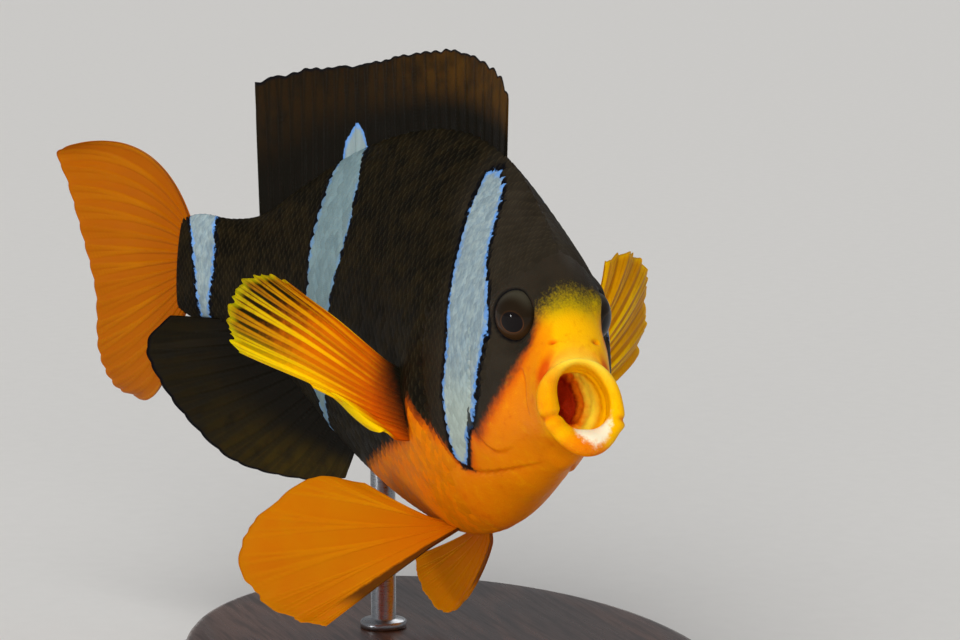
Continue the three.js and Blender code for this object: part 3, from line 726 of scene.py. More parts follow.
def skin_finish(tints):
    """Bare skin: the markings, painted shade in the creases, the mouth's inside with painted light and
    shade, painted highlights on the lips, and dark rims round the eyes, partly painted shade.
    """
    f = Finish("fish_skin", Specular_IOR_Level=0.07, Subsurface_Weight=0.12,
               Subsurface_Scale=0.0012, Coat_Weight=0.03, Coat_Roughness=0.12)
    face, crease, depth, gum, shine = f.fields("face crease depth gum shine")
    # painted shade in the creases, in ember, where the face is orange
    colour = f.mix(crease * f.step(face, 0.0, 1.5) * 0.9, marked_colour(f, tints), tints.ember)
    # the mouth's wall: painted light near the opening, painted shade deeper in
    deep = depth + (f.noise(1.1, 3) - 0.5) * 0.4
    wall = f.mix(f.step(deep, 0.2, 0.58), tints.maw_light, tints.maw)
    wall = f.mix(f.step(deep, 0.6, 0.95), wall, tints.throat)
    colour = f.mix(f.step(depth, 0.0, 0.16), colour, wall)
    # the lower lip's pale inner edge, partly painted highlight, and a painted highlight on the upper
    # lip's crest
    colour = f.mix(f.step(gum + (f.noise(0.45, 4) - 0.5) * 0.4, 0.34, 0.6), colour, tints.cream)
    colour = f.mix(shine * f.step(f.noise(1.6, 3), 0.3, 0.65, 0.7, 1.0), colour, tints.lemon)
    # the dark ring round each eye: partly dark skin, partly painted shade where the skin meets the globe
    colour = f.mix(f.field("orbit"), colour, tints.ink)
    cells = f.texture("ShaderNodeTexVoronoi", 0.3)
    cells.feature = "DISTANCE_TO_EDGE"
    pores = f.step(Value(f, cells.outputs["Distance"]), 0.0, 0.25)
    wrinkle = f.noise(0.8, 5, 0.65)
    return f.done(colour, f.step(wrinkle, 0.25, 0.75, 0.38, 0.56), f.bump(pores * 0.35 + wrinkle, 0.026))


def scale_finish(tints):
    """Scales: the markings, each scale a little lighter or darker, with a combed free edge that has a
    painted sheen where the body is dark.
    """
    f = Finish("fish_scales", Specular_IOR_Level=0.04, Subsurface_Weight=0.06,
               Subsurface_Scale=0.0008, Coat_Weight=0.01, Coat_Roughness=0.2)
    face, margin, tint, across = f.fields("face margin tint across")
    edge = f.step(margin, 0.7, 1.0)
    colour = marked_colour(f, tints)
    # a painted sheen on the free edges of the scales, where the body is dark
    edge_sheen = edge * f.step(face, 0.5, -1.0, 0.02, 0.22)
    colour = f.mix(edge_sheen, colour, f.mix(0.5, colour, tints.sheen))
    shade = f.mix(tint, (0.86, 0.86, 0.86), (1.1, 1.1, 1.1))
    colour = f.mix(1.0, colour, shade, "MULTIPLY")
    comb = f.wave(across, 46.0) * f.step(margin, 0.45, 1.0, 0.1, 0.5)
    height = comb + f.wave(margin, 60.0) * 0.12 + f.noise(0.25, 3)
    return f.done(colour, f.step(tint, 0, 1, 0.44, 0.6) + edge * 0.06, f.bump(height, 0.018))


# ---------------------------------------------------------------- scales
# Rows are named by station: the step rearward between columns and the spacing within one.
COLUMN_STEP = ((11, 0.4), (20, 0.48), (28, 0.66), (36, 0.76), (62, 0.76), (86, 0.62), (104, 0.46))
ROW_SPACING = ((11, 1.05), (20, 1.25), (28, 1.75), (36, 2), (62, 2), (86, 1.6), (104, 1.2))
NAKED = ((-40, 30), (-15, 27), (-12.5, 22), (-9, 18.4), (-5, 15.6), (0, 13.6), (5, 14), (9, 14),
         (12, 13.4), (25, 13.4))  # height, and the station where scales begin
SCALE_OUTLINE = ((-1.3, -0.42), (-0.45, -0.57), (0.3, -0.5), (0.88, -0.3), (1.14, 0), (0.88, 0.3),
                 (0.3, 0.5), (-0.45, 0.57), (-1.3, 0.42))
SCALE_STATIONS = (11.0, 103.6)
ROOTED = 0.995  # how far up or down the girth scales are still rooted
EYE_CLEAR = 4.2  # no scale is rooted nearer to an eye's middle, in percent
SCALE_SPAN = (2.6, 1.2)  # room for a scale on the OFBake map, in the outline's units
SCALE_SIZE = 0.01  # of a scale on the unrolled skin, in metres
BAKE_PATCH = 0.003  # a scale's size on the map
BAKE_STATIONS = 106  # stations that the map's width holds


def scale_pattern():
    """One scale of 30 faces, root forward: x in column steps, y in row spacings, z from 0 to 1."""
    outline, root = np.array(SCALE_OUTLINE), np.array([-1.45, 0.0])
    inner = root + (outline[1:-1] - root) * 0.62
    x, y = np.vstack([root, outline, inner]).T
    rise = np.clip((x + 1.3) / 2.44, 0, 1) ** 1.15
    crown = np.concatenate([[0.02], np.zeros(len(outline)), np.full(len(inner), 0.2)])
    z = rise - 0.28 * (y / 0.57) ** 2 * (0.4 + 0.6 * rise) + crown - 0.12
    o, m = range(1, 10), range(10, 17)  # vertex numbers of the outline and of the inner ring
    faces = [[0, o[0], m[0]], [o[0], o[1], m[0]], [0, m[6], o[8]], [m[6], o[7], o[8]]]
    for j in range(6):
        faces += [[m[j], o[j + 1], o[j + 2], m[j + 1]], [0, m[j], m[j + 1]]]
    faces += [[0, o[j + 1], o[j]] for j in range(8)]
    piece = mesh_object("scale_pattern", np.stack([x, y, z], -1), faces,
                        {"lx": x, "ly": y, "margin": rise})
    mesh = piece.data
    layer = mesh.attributes.new("sharp_edge", "BOOLEAN", "EDGE")
    layer.data.foreach_set("value", [max(edge.vertices) < m[0] for edge in mesh.edges])
    return piece


def socket_id(tree, name):
    for item in tree.interface.items_tree:
        if item.item_type == "SOCKET" and item.in_out == "INPUT" and item.name == name:
            return item.identifier
    raise RuntimeError(f"no input named {name}")


def node_tree(name, inputs):
    """A Geometry Nodes tree with named inputs, and a helper that adds nodes to it."""
    tree = bpy.data.node_groups.new(name, "GeometryNodeTree")
    for label, kind, default in [("Geometry", "NodeSocketGeometry", None), *inputs]:
        socket = tree.interface.new_socket(label, in_out="INPUT", socket_type=kind)
        if default is not None:
            socket.default_value = default
    tree.interface.new_socket("Geometry", in_out="OUTPUT", socket_type="NodeSocketGeometry")

    def add(kind, links=(), **settings):
        node = tree.nodes.new(kind)
        for key, value in settings.items():
            setattr(node, key, value)
        for target, source in dict(links).items():
            if isinstance(source, bpy.types.NodeSocket):
                tree.links.new(source, node.inputs[target])
            else:
                node.inputs[target].default_value = source
        return node

    return tree, add


def spread_tree():
    """Sets a small pattern on every point, sized, turned a little and made one mesh."""
    tree, add = node_tree("spread_on_points", [
        ("Pattern", "NodeSocketObject", None), ("Turn", "NodeSocketFloat", 0.06),
        ("Size", "NodeSocketFloat", 1.0), ("Seed", "NodeSocketInt", 7),
        ("Finish", "NodeSocketMaterial", None)])
    given = add("NodeGroupInput").outputs
    pattern = add("GeometryNodeObjectInfo", {"Object": given["Pattern"]})
    back = add("ShaderNodeMath", {0: given["Turn"], 1: -1.0}, operation="MULTIPLY").outputs[0]
    chance = add("FunctionNodeRandomValue", {"Seed": given["Seed"]}, data_type="FLOAT")
    tree.links.new(back, chance.inputs[2])
    tree.links.new(given["Turn"], chance.inputs[3])
    about = add("ShaderNodeCombineXYZ", {"Z": chance.outputs[1]})
    size = add("GeometryNodeInputNamedAttribute", {"Name": "size"}, data_type="FLOAT_VECTOR")
    facing = add("GeometryNodeInputNamedAttribute", {"Name": "facing"}, data_type="FLOAT_VECTOR")
    scaled = add("ShaderNodeVectorMath", {0: size.outputs[0], 3: given["Size"]}, operation="SCALE")
    turned = add("ShaderNodeVectorMath", {0: facing.outputs[0], 1: about.outputs[0]}, operation="ADD")
    placed = add("GeometryNodeInstanceOnPoints", {
        "Points": given["Geometry"], "Instance": pattern.outputs["Geometry"],
        "Rotation": turned.outputs[0], "Scale": scaled.outputs[0]})
    joined = add("GeometryNodeRealizeInstances", {"Geometry": placed.outputs[0]})
    made = add("GeometryNodeSetMaterial", {"Geometry": joined.outputs[0], "Material": given["Finish"]})
    out = add("NodeGroupOutput")
    tree.links.new(made.outputs[0], out.inputs[0])
    return tree


def spread(name, points, fields, inputs):
    """Runs the tree on points and returns the result as a plain mesh object."""
    holder = mesh_object("points_" + name, points, [], fields, smooth=False)
    tree = bpy.data.node_groups.get("spread_on_points") or spread_tree()
    modifier = holder.modifiers.new("spread", "NODES")
    modifier.node_group = tree
    for label, value in inputs.items():
        modifier[socket_id(tree, label)] = value
    bpy.context.view_layer.update()
    evaluated = holder.evaluated_get(bpy.context.evaluated_depsgraph_get())
    mesh = bpy.data.meshes.new_from_object(evaluated)
    mesh.name = name
    holder.modifiers.remove(modifier)
    bpy.data.objects.remove(holder)
    piece = bpy.data.objects.new(name, mesh)
    bpy.context.scene.collection.objects.link(piece)
    return piece


def scale_seeds(surface, first, last, chance):
    """Where scales are rooted between two stations: station, girth and side of each."""
    s, end = SCALE_STATIONS
    seeds, column = [], 0
    while s < end:
        if first <= s < last:
            spacing = float(curve(ROW_SPACING, s))
            for side in (1, -1):
                stagger = (column % 2) * 0.5 + (0.25 if side < 0 else 0)
                place = (np.arange(-40, 41) + stagger) * spacing
                q = place / surface.half_girth(s, place)
                q = q[np.abs(q) < ROOTED]
                where = s + chance.uniform(-0.05, 0.05, q.shape), q, np.full(q.shape, side)
                spot = surface.look(surface.flat, *where)
                begin = np.interp(spot[:, 2], *np.array(NAKED).T)
                to_eye = surface.look(surface.points, *where) - eye_axes(side)[0]
                good = (-spot[:, 0] > begin) & (np.linalg.norm(to_eye, axis=-1) / PC > EYE_CLEAR)
                seeds += list(np.stack(where, -1)[good])
        s += float(curve(COLUMN_STEP, s))
        column += 1
    return np.array(seeds)


def unrolled(s, q):
    """A place on the skin laid out flat, in metres."""
    return np.stack([s * 0.1, q * 2, 0 * s], -1)


def lay_scales(name, surface, seeds, pattern, material, settings, chance):
    """Spreads scales on the unrolled skin, then wraps them round the body."""
    s, q, side = seeds.T
    given = {"station": s, "girth": q, "side": side, "step": curve(COLUMN_STEP, s),
             "spacing": curve(ROW_SPACING, s), "size": np.full((len(s), 3), SCALE_SIZE),
             "facing": np.zeros((len(s), 3))}
    piece = spread(name, unrolled(s, q), {**given, "tint": chance.uniform(0, 1, len(s))},
                   {"Pattern": pattern, "Turn": settings.scale_turn, "Size": 1.0,
                    "Seed": settings.seed, "Finish": material})
    mesh = piece.data
    got = SimpleNamespace(**{key: read_field(mesh, key) for key in (
        "station", "girth", "side", "step", "spacing", "lx", "ly")})
    flat = np.zeros(len(mesh.vertices) * 3, np.float32)
    mesh.vertices.foreach_get("co", flat)
    x, y, z = ((flat.reshape(-1, 3) - unrolled(got.station, got.girth)) / SCALE_SIZE).T
    along = got.station + x * got.step
    q_now = got.girth + got.side * y * got.spacing / surface.half_girth(got.station, got.girth)
    points, normal = (surface.look(table, along, q_now, got.side)
                      for table in (surface.points, surface.normals))
    normal /= np.linalg.norm(normal, axis=-1, keepdims=True)
    lift = settings.scale_lift * (0.25 + 0.75 * got.spacing / 2)
    points = points + normal * (z * lift)[:, None]
    mesh.vertices.foreach_set("co", in_world(points).astype(np.float32).ravel())
    blend = 0.45  # markings change less within a scale than between scales
    spot = surface.look(surface.flat, lerp(got.station, along, blend),
                        lerp(got.girth, q_now, blend), got.side)
    write_fields(mesh, markings(-spot[:, 0], spot[:, 2]) | {"across": got.ly})
    for key in (*given, "lx", "ly"):
        if mesh.attributes.get(key):
            mesh.attributes.remove(mesh.attributes[key])
    bake_map(mesh, (got.station / BAKE_STATIONS, 0.5 + got.side * (0.25 - 0.24 * got.girth)),
             (got.lx, got.ly))
    mesh.update()
    return piece


def bake_map(mesh, root, local):
    """The OFBake map: each scale a small patch at its root's place on the unrolled skin."""
    layer = mesh.uv_layers.new(name="OFBake", do_init=False)
    loops = np.zeros(len(mesh.loops), np.int32)
    mesh.loops.foreach_get("vertex_index", loops)
    uv = [at + part / span * BAKE_PATCH for at, part, span in zip(root, local, SCALE_SPAN)]
    layer.data.foreach_set("uv", np.stack(uv, -1)[loops].astype(np.float32).ravel())


# ---------------------------------------------------------------- fins
# A fin's edge is a table: a part of the fin from front to rear, and what the edge has there.
FIN_ROOT = 1.6  # how deep the middle fins are rooted in the body
DORSAL = dict(spines=10, soft=15, start=33.5, to=88.5, split=0.44, gap=0.005, ripple=0.5)
# height
DORSAL_EDGE = ((0, 30.2), (0.035, 32), (0.12, 33.5), (0.32, 34.2), (0.6, 31.3), (0.85, 28.8), (1, 26.6))
# how far the rays lean rearward
DORSAL_LEAN = ((0, 0.6), (0.2, 2.6), (0.6, 1), (1, 3))
ANAL = dict(rays=14, start=67, to=88.5, swing=-3.6)
# station and height
ANAL_EDGE = ((0, 69.1, -24.2), (0.12, 74.7, -25.6), (0.4, 89.7, -25.4), (0.6, 99.3, -20.6),
             (0.8, 105.5, -14.6), (0.92, 106.2, -11), (1, 101.7, -7.6))
CAUDAL = dict(rays=16, root=102.4, tall=6.4, twist=-4.4, cup=-1.2, spread=4.1)
# station and height, from the lower end up
CAUDAL_EDGE = ((0, 115, -20.8), (0.12, 118, -19.6), (0.3, 119.6, -14.5), (0.5, 119, -5.5),
               (0.7, 121, 3.1), (0.85, 123.2, 9.7), (0.95, 124.8, 13.6), (1, 121.5, 14.9))
PECTORAL = dict(station=34.5, side=9.7, height=-8.1, slant=1.6, tall=8.2, rays=14, scallop=0.02,
                curl=3, bury=1.9, rearward=2.6, lower=1.3, fray=0.008)
# how far a paired fin's rays reach back, out and up
PECTORAL_RIGHT = ((0, 11.7, 14, 9.5), (0.15, 13.5, 16.1, 11.1), (0.35, 15.6, 18.6, 11),
                  (0.58, 16.2, 19.3, 8), (0.78, 14.7, 17.6, 5.9), (0.9, 10.5, 12.6, 5.5),
                  (1, 3.2, 4, 0.2))
PECTORAL_LEFT = ((0, 4.9, 6.7, 13.3), (0.15, 8, 11.1, 15.3), (0.35, 11.1, 15.3, 14.8),
                 (0.55, 12, 16.6, 11.4), (0.78, 11.5, 15.8, 7), (0.9, 8.6, 11.8, 4.6),
                 (1, 2.6, 3.2, -0.2))
PELVIC = dict(station=38.2, side=2.8, height=-24.6, slant=3, tall=-0.6, rays=6, scallop=0.014, curl=2,
              bury=0.5, rearward=0, lower=0, fray=0.003)
PELVIC_RIGHT = ((0, 9, 12.6, -13.8), (0.2, 11, 15.6, -13.6), (0.4, 13.8, 19.6, -11.6),
                (0.55, 15.5, 22, -6.6), (0.7, 13.8, 19.7, -1), (0.85, 10, 14.2, 4.2), (1, 6, 8.4, 4))
PELVIC_LEFT = ((0, 11.5, 2, -11.5), (0.25, 16.5, 2.6, -14.6), (0.5, 20, 2.2, -15.2),
               (0.75, 22, 0.8, -12.6), (1, 20.5, -0.6, -8.8))
RAY_START = 0.07  # a paired fin's rays start this part of their reach inside the body


def column(table, u, k=1):
    """The smooth curve through a table's first column and its column k."""
    return curve([(row[0], row[k]) for row in table], u)


def notch(u, rays, depth):
    """How deep the edge is cut between rays."""
    return depth * (1 - np.abs(np.cos(PI * rays * u)))


def dorsal_parts(u):
    """How far a place is along the spines, and along the soft rays."""
    split, gap = DORSAL["split"], DORSAL["gap"]
    return u / (split - gap), (u - split - gap) / (1 - split - gap)


def dorsal_rays(u):
    """Rays counted from the front, spines first, as a part of their whole number."""
    front, rear = dorsal_parts(u)
    spines, soft = DORSAL["spines"], DORSAL["soft"]
    count = np.where(u < DORSAL["split"], np.minimum(front * spines, spines),
                     np.maximum(spines + rear * soft, spines))
    return count / (spines + soft)


def dorsal_middle(u, v):
    """The dorsal fin's middle surface in percent: u from front to rear, v from root to edge."""
    station = lerp(DORSAL["start"], DORSAL["to"], u)
    front, rear = dorsal_parts(u)
    spiny = notch(front, DORSAL["spines"], 0.085 - 0.06 * ease(u, 0.02, 0.16))
    soft = notch(rear, DORSAL["soft"], 0.007)
    worn = 0.0075 * (np.sin(u * 57 + 1) + 0.7 * np.sin(u * 131 + 2 * np.sin(u * 23)) + np.sin(u * 21))
    reach = v * (1 - np.where(u < DORSAL["split"], spiny, soft) - worn * ease(v, 0.5, 1))
    s = station + column(DORSAL_LEAN, u) * reach
    up = lerp(curve(BACK, station) - FIN_ROOT, column(DORSAL_EDGE, u), reach)
    return s, DORSAL["ripple"] * v * np.sin(u * 9), up


def anal_middle(u, v):
    """The anal fin's middle surface, as the dorsal fin's."""
    station = lerp(ANAL["start"], ANAL["to"], u)
    reach = v * (1 - notch(u, ANAL["rays"], 0.012))
    s = lerp(station, column(ANAL_EDGE, u), reach)
    up = lerp(curve(BELLY, station) + FIN_ROOT, column(ANAL_EDGE, u, 2), reach)
    up = up + 0.9 * ease(u, 0.86, 1) * ease(v, 0, 0.3)
    return s, ANAL["swing"] * u * v * v, up


def caudal_middle(u, v):
    """The tail fin's middle surface: u from its lower end up, v from root to edge."""
    tilt = 2 * u - 1
    reach = v * (1 - notch(u, CAUDAL["rays"], 0.014))
    w = 4 * v * (1 - v)
    s = lerp(CAUDAL["root"], column(CAUDAL_EDGE, u), reach) + CAUDAL["cup"] * tilt**2 * w
    up = (lerp(CAUDAL["tall"] * tilt, column(CAUDAL_EDGE, u, 2), reach)
          + CAUDAL["spread"] * tilt * np.abs(tilt) * w)
    return s, (CAUDAL["twist"] * tilt + CAUDAL["cup"] * np.sin(PI * u)) * v * v, up


def paired_middle(root, rays, side):
    """The middle surface of a pectoral or pelvic fin, in mm, as points of the bent fish."""
    axis = float(turn(root["station"]))
    c, k = math.cos(axis), math.sin(axis)

    def lay(back, out, up):
        return np.stack([-back * c - side * out * k, -back * k + side * out * c, up], -1) * PC

    def middle(u, v):
        start = bent(root["station"] + root["slant"] * (u - 0.5), side * root["side"],
                     root["height"] + root["tall"] * (0.5 - u))
        worn = root["fray"] * (np.sin(u * 61) + np.sin(u * 113 + 2 * np.sin(u * 29))) * v * v
        reach = lerp(-RAY_START, 1, v) * (1 - notch(u, root["rays"], root["scallop"]) * v - worn)
        along = lay(*(column(rays, u, k) for k in (1, 2, 3)))
        droop = root["curl"] * v * (1 - v)
        inward = droop - root["bury"] * (1 - ease(v, 0, 0.24))
        fade = 1 - ease(v, 0, 0.7)
        return (start + along * reach[..., None]
                + lay(root["rearward"] * (1.15 - 0.3 * u) * fade - droop, inward, -root["lower"] * fade))

    return middle


def ray_pattern(u, v, rays, fork, width, spine_part):
    """Height, from 0 to 1, of fin rays that fork twice on their way out, and their centres."""
    cell = u * rays
    nearest = np.round(cell)
    offset = cell - nearest
    stiff = u < spine_part
    first = np.where(stiff, 0, 0.24 * ease(v, fork, 1.15))
    second = np.where(stiff, 0, 0.11 * ease(v, fork + 0.28, 1.2))
    far = np.full(u.shape, 9.0)
    for a in (-1, 1):
        for b in (-1, 1):
            far = np.minimum(far, np.abs(offset - a * first - b * second))
    wide = width * np.where(stiff, lerp(1.2, 0.5, v), lerp(1.0, 0.42, ease(v, fork, 1)))
    return np.sqrt(np.clip(1 - (far / wide) ** 2, 0, 1))


def fin_sheet(name, middle, rays, size, thick, fork=0.3, width=0.2, spine_part=0.0, ripple=0.12,
              ray_of=None, lobe=0.0, folds=0.0, marked=False):
    """A closed, ribbed fin from its middle surface; thick is (ray at root, ray at edge, web)."""
    u, v = np.meshgrid(*(np.linspace(0, 1, count) for count in size), indexing="ij")
    place = middle(u, v)
    points = bent(*place) if isinstance(place, tuple) else place
    normal = grid_normals(points)
    place_u = ray_of(u) if ray_of else u
    number = np.round(place_u * rays)  # each ray has a strength of its own
    chance = 0.5 + 0.5 * np.sin(number * 12.9898 + 4.1 * np.sin(number * 3.7))
    ridge = ray_pattern(place_u, v, rays, fork, width, spine_part) * lerp(0.72, 1, chance)
    half = lerp(thick[2], lerp(thick[0], thick[1], v), ridge) / 2
    half = half * (1 - 0.55 * ease(v, 0.93, 1))
    half += lobe * (1 - ease(v, 0.02, 0.26)) * np.sqrt(np.clip(1 - (2 * u - 1) ** 2, 0, 1))
    wave = ripple * np.sin(2 * PI * place_u * rays) * ease(v, 0.2, 1)
    wave += folds * np.sin(2 * PI * (5.5 * u + 0.35 * np.sin(7 * u))) * ease(v, 0.12, 0.5)
    points = points + normal * wave[..., None] * PC * 0.5
    sheets = np.stack([points + normal * half[..., None], points - normal * half[..., None]])
    faces = grid_faces(*size) + grid_faces(*size, u.size, flip=True)
    at = np.arange(u.size).reshape(size)
    ring = np.concatenate([at[:, 0], at[-1, 1:], at[-2::-1, -1], at[0, -2:0:-1]])
    for a, b in zip(ring.tolist(), np.roll(ring, -1).tolist()):
        faces.append([a, b, b + u.size, a + u.size])
    fields = {"along": v, "place": u, "ray": ridge, "chance": chance}
    fields |= markings(place[0], place[2]) if marked else {"bar": 0 * v - FAR}
    both = {key: np.tile(value.ravel(), 2) for key, value in fields.items()}
    piece = mesh_object(name, in_world(sheets.reshape(-1, 3)), faces, both)
    turn_outwards(piece.data)
    return piece


def dark_fin_finish(name, tints, streak):
    """A black fin with brown streaks in its outer web, crossed by the white bars."""
    f = Finish(name, Specular_IOR_Level=0.07, Subsurface_Weight=0.05, Subsurface_Scale=0.0006)
    ray, along, place, bar = f.fields("ray along place bar")
    patchy = f.noise(3.2, 3)
    outer = f.step(along, 0.3, 0.75) * f.step(patchy, 0.28, 0.6, 0.35, 1.0)
    web = f.mix(outer * f.step(place, 0.72, 0.12, 0.2, 1.0), tints.black, streak)
    colour = f.mix(ray * 0.45, web, tints.black)
    colour = f.mix(f.step(along, 0.965, 0.99), colour, tints.ink)
    worn = bar + (f.noise(0.55, 4) - 0.5) * 0.7
    rim = f.mix(f.step(worn, 0.05, 0.75), tints.blue, f.mix(0.4, tints.pearl, tints.slate))
    colour = f.mix(f.step(worn, -0.12, 0.06), colour, rim)
    height = f.wave(along, 150.0) * ray * 0.3 + f.noise(0.4, 4)
    return f.done(colour, f.step(patchy, 0.2, 0.8, 0.38, 0.56), f.bump(height, 0.03))


# Screen colours of the warm fins: at the root, in the web, on the rays and at their tips.
# The left pectoral and pelvic fins, on the far side, have lighter copies of these colours, as painted
# light.
FIN_TINTS = dict(
    fin_tail=((158, 82, 1), (164, 88, 1), (178, 104, 1), (166, 92, 2)),
    fin_pectoral=((190, 78, 1), (206, 104, 1), (246, 176, 1), (206, 190, 4)),
    fin_pectoral_left=((232, 142, 1), (230, 150, 1), (255, 208, 1), (242, 180, 2)),
    fin_pelvic=((186, 94, 1), (188, 108, 1), (200, 124, 1), (184, 108, 1)),
    fin_pelvic_left=((232, 122, 1), (232, 134, 1), (242, 152, 1), (226, 138, 1)))


def warm_fin_finish(name, dusk=None, glow=None, root=None, leading=None):
    """An orange or yellow fin; dusk is (colour, strength, how far out it starts, its lean)."""
    f = Finish(name, Specular_IOR_Level=0.05, Subsurface_Weight=0.2, Subsurface_Scale=0.0009)
    base, web, rays, tip = (linear(*rgb) for rgb in FIN_TINTS[name])
    ray, along, place, chance = f.fields("ray along place chance")
    broad, fine = f.noise(5.0, 3), f.noise(0.7, 4)
    colour = f.mix(f.step(broad, 0.3, 0.75), web, f.mix(0.5, web, base))
    ray_tint = f.mix(f.step(along, 0.4, 0.95, 0.0, 0.75), rays, tip)
    colour = f.mix(ray * f.step(chance, 0, 1, 0.45, 0.95), colour, ray_tint)
    colour = f.mix(f.step(along + (broad - 0.5) * 0.5, 0.6, 0.1), colour, base)
    if dusk:
        shadow, strength, start, lean = dusk
        reach = along + (fine - 0.5) * 0.22 - place * lean
        dusky = f.step(reach, start, start + 0.32) * f.step(place, 0.0, 0.13, 0.3 * strength, strength)
        kept = ray * f.step(reach, start + 0.28, start + 0.52, 0.9, 0.35)
        colour = f.mix(dusky * (1 - kept), colour, shadow)
    if glow:
        lower = f.step(place, 0.5, 0.88) * f.step(along, 0.25, 0.6)
        colour = f.mix(lower * 0.75, colour, glow)
    colour = f.mix(f.step(along, 0.94, 0.995) * 0.45, colour, tip)
    if leading:
        edge = f.step(place + (fine - 0.5) * 0.05, 0.17, 0.11) * f.step(along, 0.86, 0.66)
        colour = f.mix(edge * 0.88, colour, leading)
    # darker towards the root: partly the body's own colour, partly painted shade where the fin meets the
    # body
    if root:
        root_shade_reach = along + place * 0.16 + (fine - 0.5) * 0.03
        colour = f.mix(f.step(root_shade_reach, 0.36, 0.17), colour, root)
    height = f.wave(along, 190.0) * ray * 0.3 + fine
    return f.done(colour, f.step(fine, 0.2, 0.8, 0.36, 0.5), f.bump(height, 0.03))


# ---------------------------------------------------------------- eyes
PUPIL = dict(wide=1.45, tall=1.22, back=-0.4, up=-0.76)
EYE_SIDES = 72
EYE_BOTTOM = -1.25  # the closed back of a globe, along its axis
EYE_RINGS = ((0.05, 0.9, 12), (0.94, 1.3, 10), (1.4, 2.5, 18))  # first, last, how many


def build_eye(side, name, finish):
    """One globe: rings close round the pupil first, then spread to the rim."""
    at, out, up, rearward = eye_axes(side)
    spin = np.arange(EYE_SIDES) / EYE_SIDES * 2 * PI
    size = np.concatenate([np.linspace(*row) for row in EYE_RINGS])[:, None]
    small, spread_to = np.minimum(size, 1), np.maximum(size - 1, 0) / 1.5
    rim = GLOBE * 0.995
    back = lerp(PUPIL["back"] + small * PUPIL["wide"] * np.cos(spin), rim * np.cos(spin), spread_to)
    high = lerp(PUPIL["up"] + small * PUPIL["tall"] * np.sin(spin), rim * np.sin(spin), spread_to)
    r = np.hypot(back, high)
    rise = globe_height(np.minimum(r, GLOBE * 0.998))
    points = at + PC * (back[..., None] * rearward + high[..., None] * up + rise[..., None] * out)
    fields = {"pupil": size + 0 * r, "rim": r / rim, "spin": spin + 0 * r, "high": high / rim}
    globe = closed_rings("eye_globe_" + name, in_world(points), in_world(points[0].mean(0)),
                         in_world(at + PC * EYE_BOTTOM * out), fields)
    finish_piece(globe, finish, ["eye_" + name])


def iris_finish(tints):
    """A dark iris with fine fibres round a round pupil, under a clear coat, with a painted sheen on its
    upper part.
    """
    f = Finish("eye", Specular_IOR_Level=0.05, Coat_Weight=0.42, Coat_Roughness=0.04, Coat_IOR=1.36)
    pupil, rim, high, spin = f.fields("pupil rim high spin")
    fibres = f.math("SINE", spin * 60.0 + f.noise(0.5, 4) * 9.0)
    iris = f.mix(f.step(fibres, -1, 1, 0.2, 0.8), tints.iris, tints.iris_dark)
    # a painted sheen on the upper part of the iris, towards its rim
    veil_sheen = f.step(high, 0.1, 0.9) * f.step(rim, 0.45, 0.92)
    iris = f.mix(veil_sheen * 0.8, iris, tints.iris_veil)
    iris = f.mix(f.step(high, -0.1, -0.7, 0.0, 0.75), iris, tints.iris_low)
    iris = f.mix(f.step(rim, 0.955, 0.985), iris, tints.ink)
    ring = f.step(pupil, 0.97, 1.02) * f.step(pupil, 1.14, 1.05)
    colour = f.mix(ring * f.step(high, 0.05, -0.4, 0.15, 0.8), iris, tints.iris_ring)
    return f.done(f.mix(f.step(pupil, 1.02, 0.94), colour, tints.pupil), 0.5)


# ---------------------------------------------------------------- settings
def tint(name, description, *screen_colour):
    return FloatVectorProperty(name=name, description=description, subtype="COLOR", size=3,
                               default=linear(*screen_colour))


class FishSettings(bpy.types.PropertyGroup):
    """Sizes and colours that a user may change."""
    coat_depth: FloatProperty(name="Coat depth", description="Skin's depth under the solids, mm",
                              default=0.19, min=0.0, max=0.5)
    scale_lift: FloatProperty(name="Scale lift", description="Height of a scale's free edge, mm",
                              default=0.15, min=0.0, max=0.4)
    scale_turn: FloatProperty(name="Scale turn", description="Chance turn of each scale",
                              default=0.07, subtype="ANGLE")
    seed: IntProperty(name="Seed", description="Seed of the chance in the scales", default=11)
    black: tint("Black", "Body", 15, 12, 6)
    brown: tint("Brown", "Lighter patches of the body", 31, 24, 11)
    ink: tint("Ink", "Outline of the bars", 9, 9, 13)
    orange: tint("Orange", "Cheeks", 234, 129, 1)
    yellow: tint("Yellow", "Snout and lips", 252, 184, 1)
    rust: tint("Rust", "Breast", 238, 116, 1)
    # Ember also paints the shade in the creases.
    ember: tint("Ember", "Creases and the face's border", 208, 66, 1)
    # Throat is painted shade deep inside the mouth.
    throat: tint("Throat", "Deep inside the mouth", 170, 44, 10)
    # Cream is partly a painted highlight on the lower lip's inner edge.
    cream: tint("Cream", "Inner edge of the lower lip", 250, 238, 206)
    pale: tint("Pale", "White bars", 124, 143, 154)
    pearl: tint("Pearl", "Cooler patches of the bars", 156, 171, 173)
    blue: tint("Blue", "Rims of the bars", 100, 150, 216)
    moss: tint("Moss", "Border of the face on the forehead", 176, 148, 4)
    # Sheen is a painted sheen on the scales' free edges.
    sheen: tint("Sheen", "Free edges of the scales", 112, 98, 70)
    wood: tint("Wood", "Base", 70, 42, 26)


FIXED_TINTS = dict(
    # the iris's veil colour is a painted sheen on the eye's upper part
    iris=(34, 24, 12), iris_dark=(27, 19, 9), iris_ring=(92, 52, 24), iris_veil=(66, 62, 50),
    # maw_light is painted light on the mouth's wall near its opening
    iris_low=(66, 42, 20), pupil=(14, 9, 9), maw=(255, 140, 14), maw_light=(255, 228, 60),
    # lemon is a painted highlight on the upper lip's crest
    lemon=(255, 232, 84), slate=(104, 128, 132), fair=(176, 188, 176), umber=(50, 43, 34))


